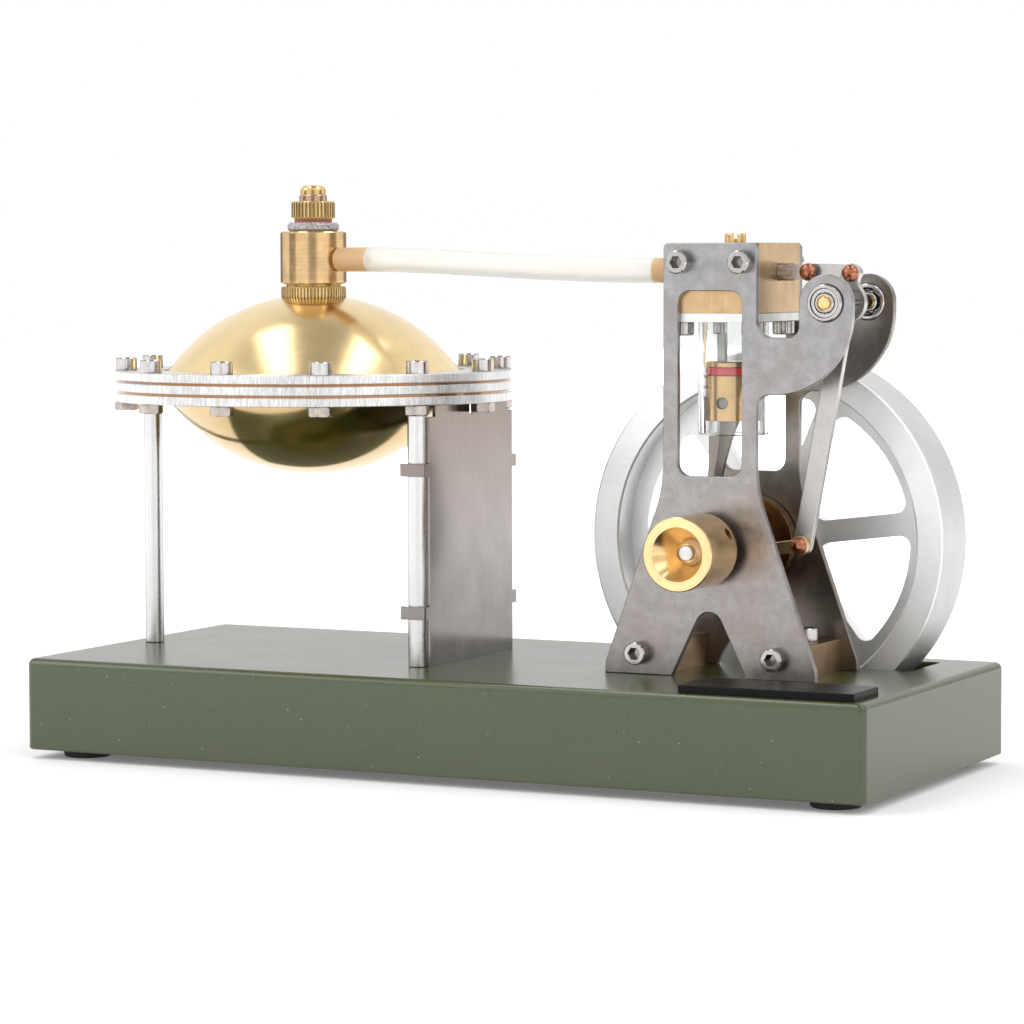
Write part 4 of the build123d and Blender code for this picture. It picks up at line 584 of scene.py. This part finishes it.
paint(turned("brass_pulley", (0.86, 0.60, 0.30), (0.14, 0.24), crank_axis, Y_AXIS, pitch=0.3 * MM),
      "belt_pulley", "shaft_spacers")
# painted shade: the crank disc and the eccentric sheave are brass darkened to deep brown, for their place
# deep between the plates
paint(turned("shaded_brass_disc", (0.42, 0.25, 0.11), (0.20, 0.34), crank_axis, Y_AXIS), "crank_disc")
paint(turned("shaded_brass_sheave", (0.30, 0.17, 0.08), (0.22, 0.36), sheave_axis, Y_AXIS), "eccentric_sheave")
# painted light: the strap's brass is paler and brighter than the other brass, to lift it out of the shade
# between the plates
paint(turned("brightened_brass_strap", (0.90, 0.66, 0.36), (0.30, 0.44), sheave_axis, Y_AXIS), "eccentric_strap")
paint(turned("brass_big_end", BRASS, (0.20, 0.34), pin_axis, Y_AXIS), "big_end_bush")
paint(turned("brass_rocker", BRASS, (0.16, 0.28), rocker_axis, Y_AXIS), "rocker_shaft")
paint(turned("brass_piston", (0.62, 0.40, 0.17), (0.16, 0.28), cylinder_axis, Z_AXIS), "piston")
paint(turned("brass_plug", BRASS, (0.16, 0.30), centre_of("block_plug"), Z_AXIS), "block_plug")
paint(fitting_brass(), "boiler_bush", "filler_plug", "valve_seat", "safety_valve_stem")
paint(turned("brass_body", (0.78, 0.53, 0.27), (0.09, 0.15), boiler_axis, Z_AXIS,
             depth=0.0004 * MM, grain_depth=0.0004 * MM, stretch=0.35, rim=0.5), "outlet_body")
paint(turned("brass_nipple", BRASS, (0.20, 0.32), centre_of("outlet_nipple"), X_AXIS),
      "outlet_nipple", "engine_nipple")
paint(metal("milled_brass", SOFT_BRASS, (0.24, 0.38), shade=0.10, patch=6 * MM,
            lines=lambda s: streaks(s, (0.3 * MM, 0.3 * MM, 9 * MM)), depth=0.003 * MM,
            stain=(0.42, 0.27, 0.15), stain_amount=0.4, broad=6 * MM).material,
      "valve_block")
paint(metal("dull_brass", (0.40, 0.26, 0.14), (0.28, 0.42), shade=0.12, patch=5 * MM,
            lines=lambda s: streaks(s, (8 * MM, 0.3 * MM, 0.3 * MM)), depth=0.003 * MM,
            stain=(0.24, 0.14, 0.07), stain_amount=0.5).material,
      "foot_blocks")
paint(metal("copper", COPPER, (0.22, 0.30), shade=0.12, patch=1.6 * MM,
            grain_depth=0.0003 * MM, rim=0.7).material,
      "strap_rivet", "lever_rivets", "spool_rivet")


# ------------------------------------------------------------------ floor, light and camera
FLOOR_HALF_SIZE = 4.0       # of the grid, metres
FLOOR_GLOW = 0.14           # lifts the shadow under the base
HAZE_START, HAZE_END = 0.3, 1.0      # the floor fades to white between these distances


def studio_floor():
    """Plain pale floor under the feet, faintly uneven like painted board."""
    mesh = bpy.data.meshes.new("studio_floor")
    shape = bmesh.new()
    bmesh.ops.create_grid(shape, x_segments=8, y_segments=8, size=FLOOR_HALF_SIZE)
    shape.to_mesh(mesh)
    shape.free()
    floor = bpy.data.objects.new("studio_floor", mesh)
    floor.location = (0, 0, cad_box[0].z)
    bpy.context.scene.collection.objects.link(floor)
    shader = Shader("studio_floor")
    cloud = shader.noise(shader.coords, 3.0, detail=2.0)
    away = shader.tree.nodes.new("ShaderNodeVectorMath")
    away.operation = "LENGTH"
    shader.feed(away.inputs[0], shader.coords)
    haze = shader.remap_clamped(away.outputs["Value"], HAZE_START, HAZE_END)
    glow = shader.math("ADD", haze, FLOOR_GLOW)
    shader.set(Base_Color=shader.mix(cloud, (0.90, 0.90, 0.90), (0.93, 0.93, 0.93)), Roughness=0.9,
               Specular_IOR_Level=0.1, Emission_Color=(1, 1, 1), Emission_Strength=glow)
    mesh.materials.append(shader.material)


def soft_box(name, place, aim, width, height, radiance):
    """Rectangular softbox of an even brightness that points at a spot."""
    data = bpy.data.lights.new(name, "AREA")
    data.shape = "RECTANGLE"
    data.size = width
    data.size_y = height
    data.energy = radiance * math.pi * width * height
    lamp = bpy.data.objects.new(name, data)
    lamp.location = place
    lamp.rotation_mode = "QUATERNION"
    lamp.rotation_quaternion = (Vector(aim) - Vector(place)).to_track_quat("-Z", "Y")
    bpy.context.scene.collection.objects.link(lamp)
    return lamp


STRIP_HEIGHT = 0.95
STRIP_SIZE = (0.22, 0.75)


def ceiling_strip(name, across, radiance):
    """Long softbox overhead that runs away from the camera, beside the boiler's dome."""
    place = Vector((boiler_axis.x, boiler_axis.y, STRIP_HEIGHT)) + across * CAMERA_RIGHT
    lamp = soft_box(name, place, place - Vector((0, 0, 1)), *STRIP_SIZE, radiance)
    lamp.rotation_mode = "XYZ"
    lamp.rotation_euler = (0, 0, math.atan2(CAMERA_RIGHT.y, CAMERA_RIGHT.x))


TENT_BRIGHTNESS = 1.05
CAMERA_SLOT = ((0.44, -0.89, 0.07), 0.93, 0.995, 0.36)       # direction, edge, full, brightness
DIM_SPOTS = (
    ((0.0, 0.0, 1.0), 0.70, 0.95, 0.42),
    ((0.974, 0.195, 0.0), 0.94, 0.985, 0.28),
    ((-0.746, -0.655, 0.0), 0.94, 0.985, 0.28),
    ((-0.871, 0.476, 0.0), 0.955, 0.985, 0.35),
    ((0.151, 0.982, 0.0), 0.955, 0.985, 0.35),
)


def studio_world():
    """White to the camera; in reflections a bright tent with dim slots that shape the metal."""
    world = bpy.data.worlds.new("studio")
    bpy.context.scene.world = world
    world.use_nodes = True
    tree = world.node_tree
    tree.nodes.clear()
    out = tree.nodes.new("ShaderNodeOutputWorld")
    direction = tree.nodes.new("ShaderNodeTexCoord").outputs["Generated"]

    def level(toward, start, end, bright, dim):
        """Brightness that falls from bright to dim as the direction turns toward a spot."""
        facing = tree.nodes.new("ShaderNodeVectorMath")
        facing.operation = "DOT_PRODUCT"
        tree.links.new(direction, facing.inputs[0])
        facing.inputs[1].default_value = toward
        fall = tree.nodes.new("ShaderNodeMapRange")
        fall.interpolation_type = "SMOOTHSTEP"
        tree.links.new(facing.outputs["Value"], fall.inputs["Value"])
        fall.inputs["From Min"].default_value = start
        fall.inputs["From Max"].default_value = end
        fall.inputs["To Min"].default_value = bright
        fall.inputs["To Max"].default_value = dim
        return fall.outputs["Result"]

    toward, start, end, dim = CAMERA_SLOT
    brightness = level(toward, start, end, TENT_BRIGHTNESS, dim)
    for toward, start, end, dim in DIM_SPOTS:
        both = tree.nodes.new("ShaderNodeMath")
        both.operation = "MULTIPLY"
        tree.links.new(brightness, both.inputs[0])
        tree.links.new(level(toward, start, end, 1.0, dim), both.inputs[1])
        brightness = both.outputs[0]
    room = tree.nodes.new("ShaderNodeBackground")
    tree.links.new(brightness, room.inputs["Color"])
    white = tree.nodes.new("ShaderNodeBackground")
    path = tree.nodes.new("ShaderNodeLightPath")
    white.inputs["Color"].default_value = (1, 1, 1, 1)
    mix = tree.nodes.new("ShaderNodeMixShader")
    tree.links.new(path.outputs["Is Camera Ray"], mix.inputs["Fac"])
    tree.links.new(room.outputs[0], mix.inputs[1])
    tree.links.new(white.outputs[0], mix.inputs[2])
    tree.links.new(mix.outputs[0], out.inputs["Surface"])


CAMERA_PLACE = (0.4407, -0.8918, 0.1374)
CAMERA_LOOK = Vector((-0.4417, 0.8944, -0.0699))
CAMERA_ROLL = math.radians(-0.13)


def camera():
    """The camera: three quarters from the front right, just above the deck, with a long lens."""
    data = bpy.data.cameras.new("camera")
    data.lens = 129.6
    data.sensor_width = 36.0
    data.clip_start = 0.01
    made = bpy.data.objects.new("camera", data)
    made.location = CAMERA_PLACE
    made.rotation_mode = "QUATERNION"
    roll = Matrix.Rotation(CAMERA_ROLL, 3, "Z").to_quaternion()
    made.rotation_quaternion = CAMERA_LOOK.to_track_quat("-Z", "Y") @ roll
    bpy.context.scene.collection.objects.link(made)
    bpy.context.scene.camera = made


studio_floor()
studio_world()
aim = (0.0, 0.0, 0.08)
soft_box("left_box", (-0.95, -0.75, 0.75), aim, 0.7, 1.0, 1.6)
soft_box("right_box", (1.3, -0.1, 1.1), aim, 0.7, 0.7, 1.5)
ceiling_strip("left_strip", -0.27, 3.0)
ceiling_strip("right_strip", 0.37, 3.0)
camera()
bpy.context.scene.view_settings.view_transform = "Standard"
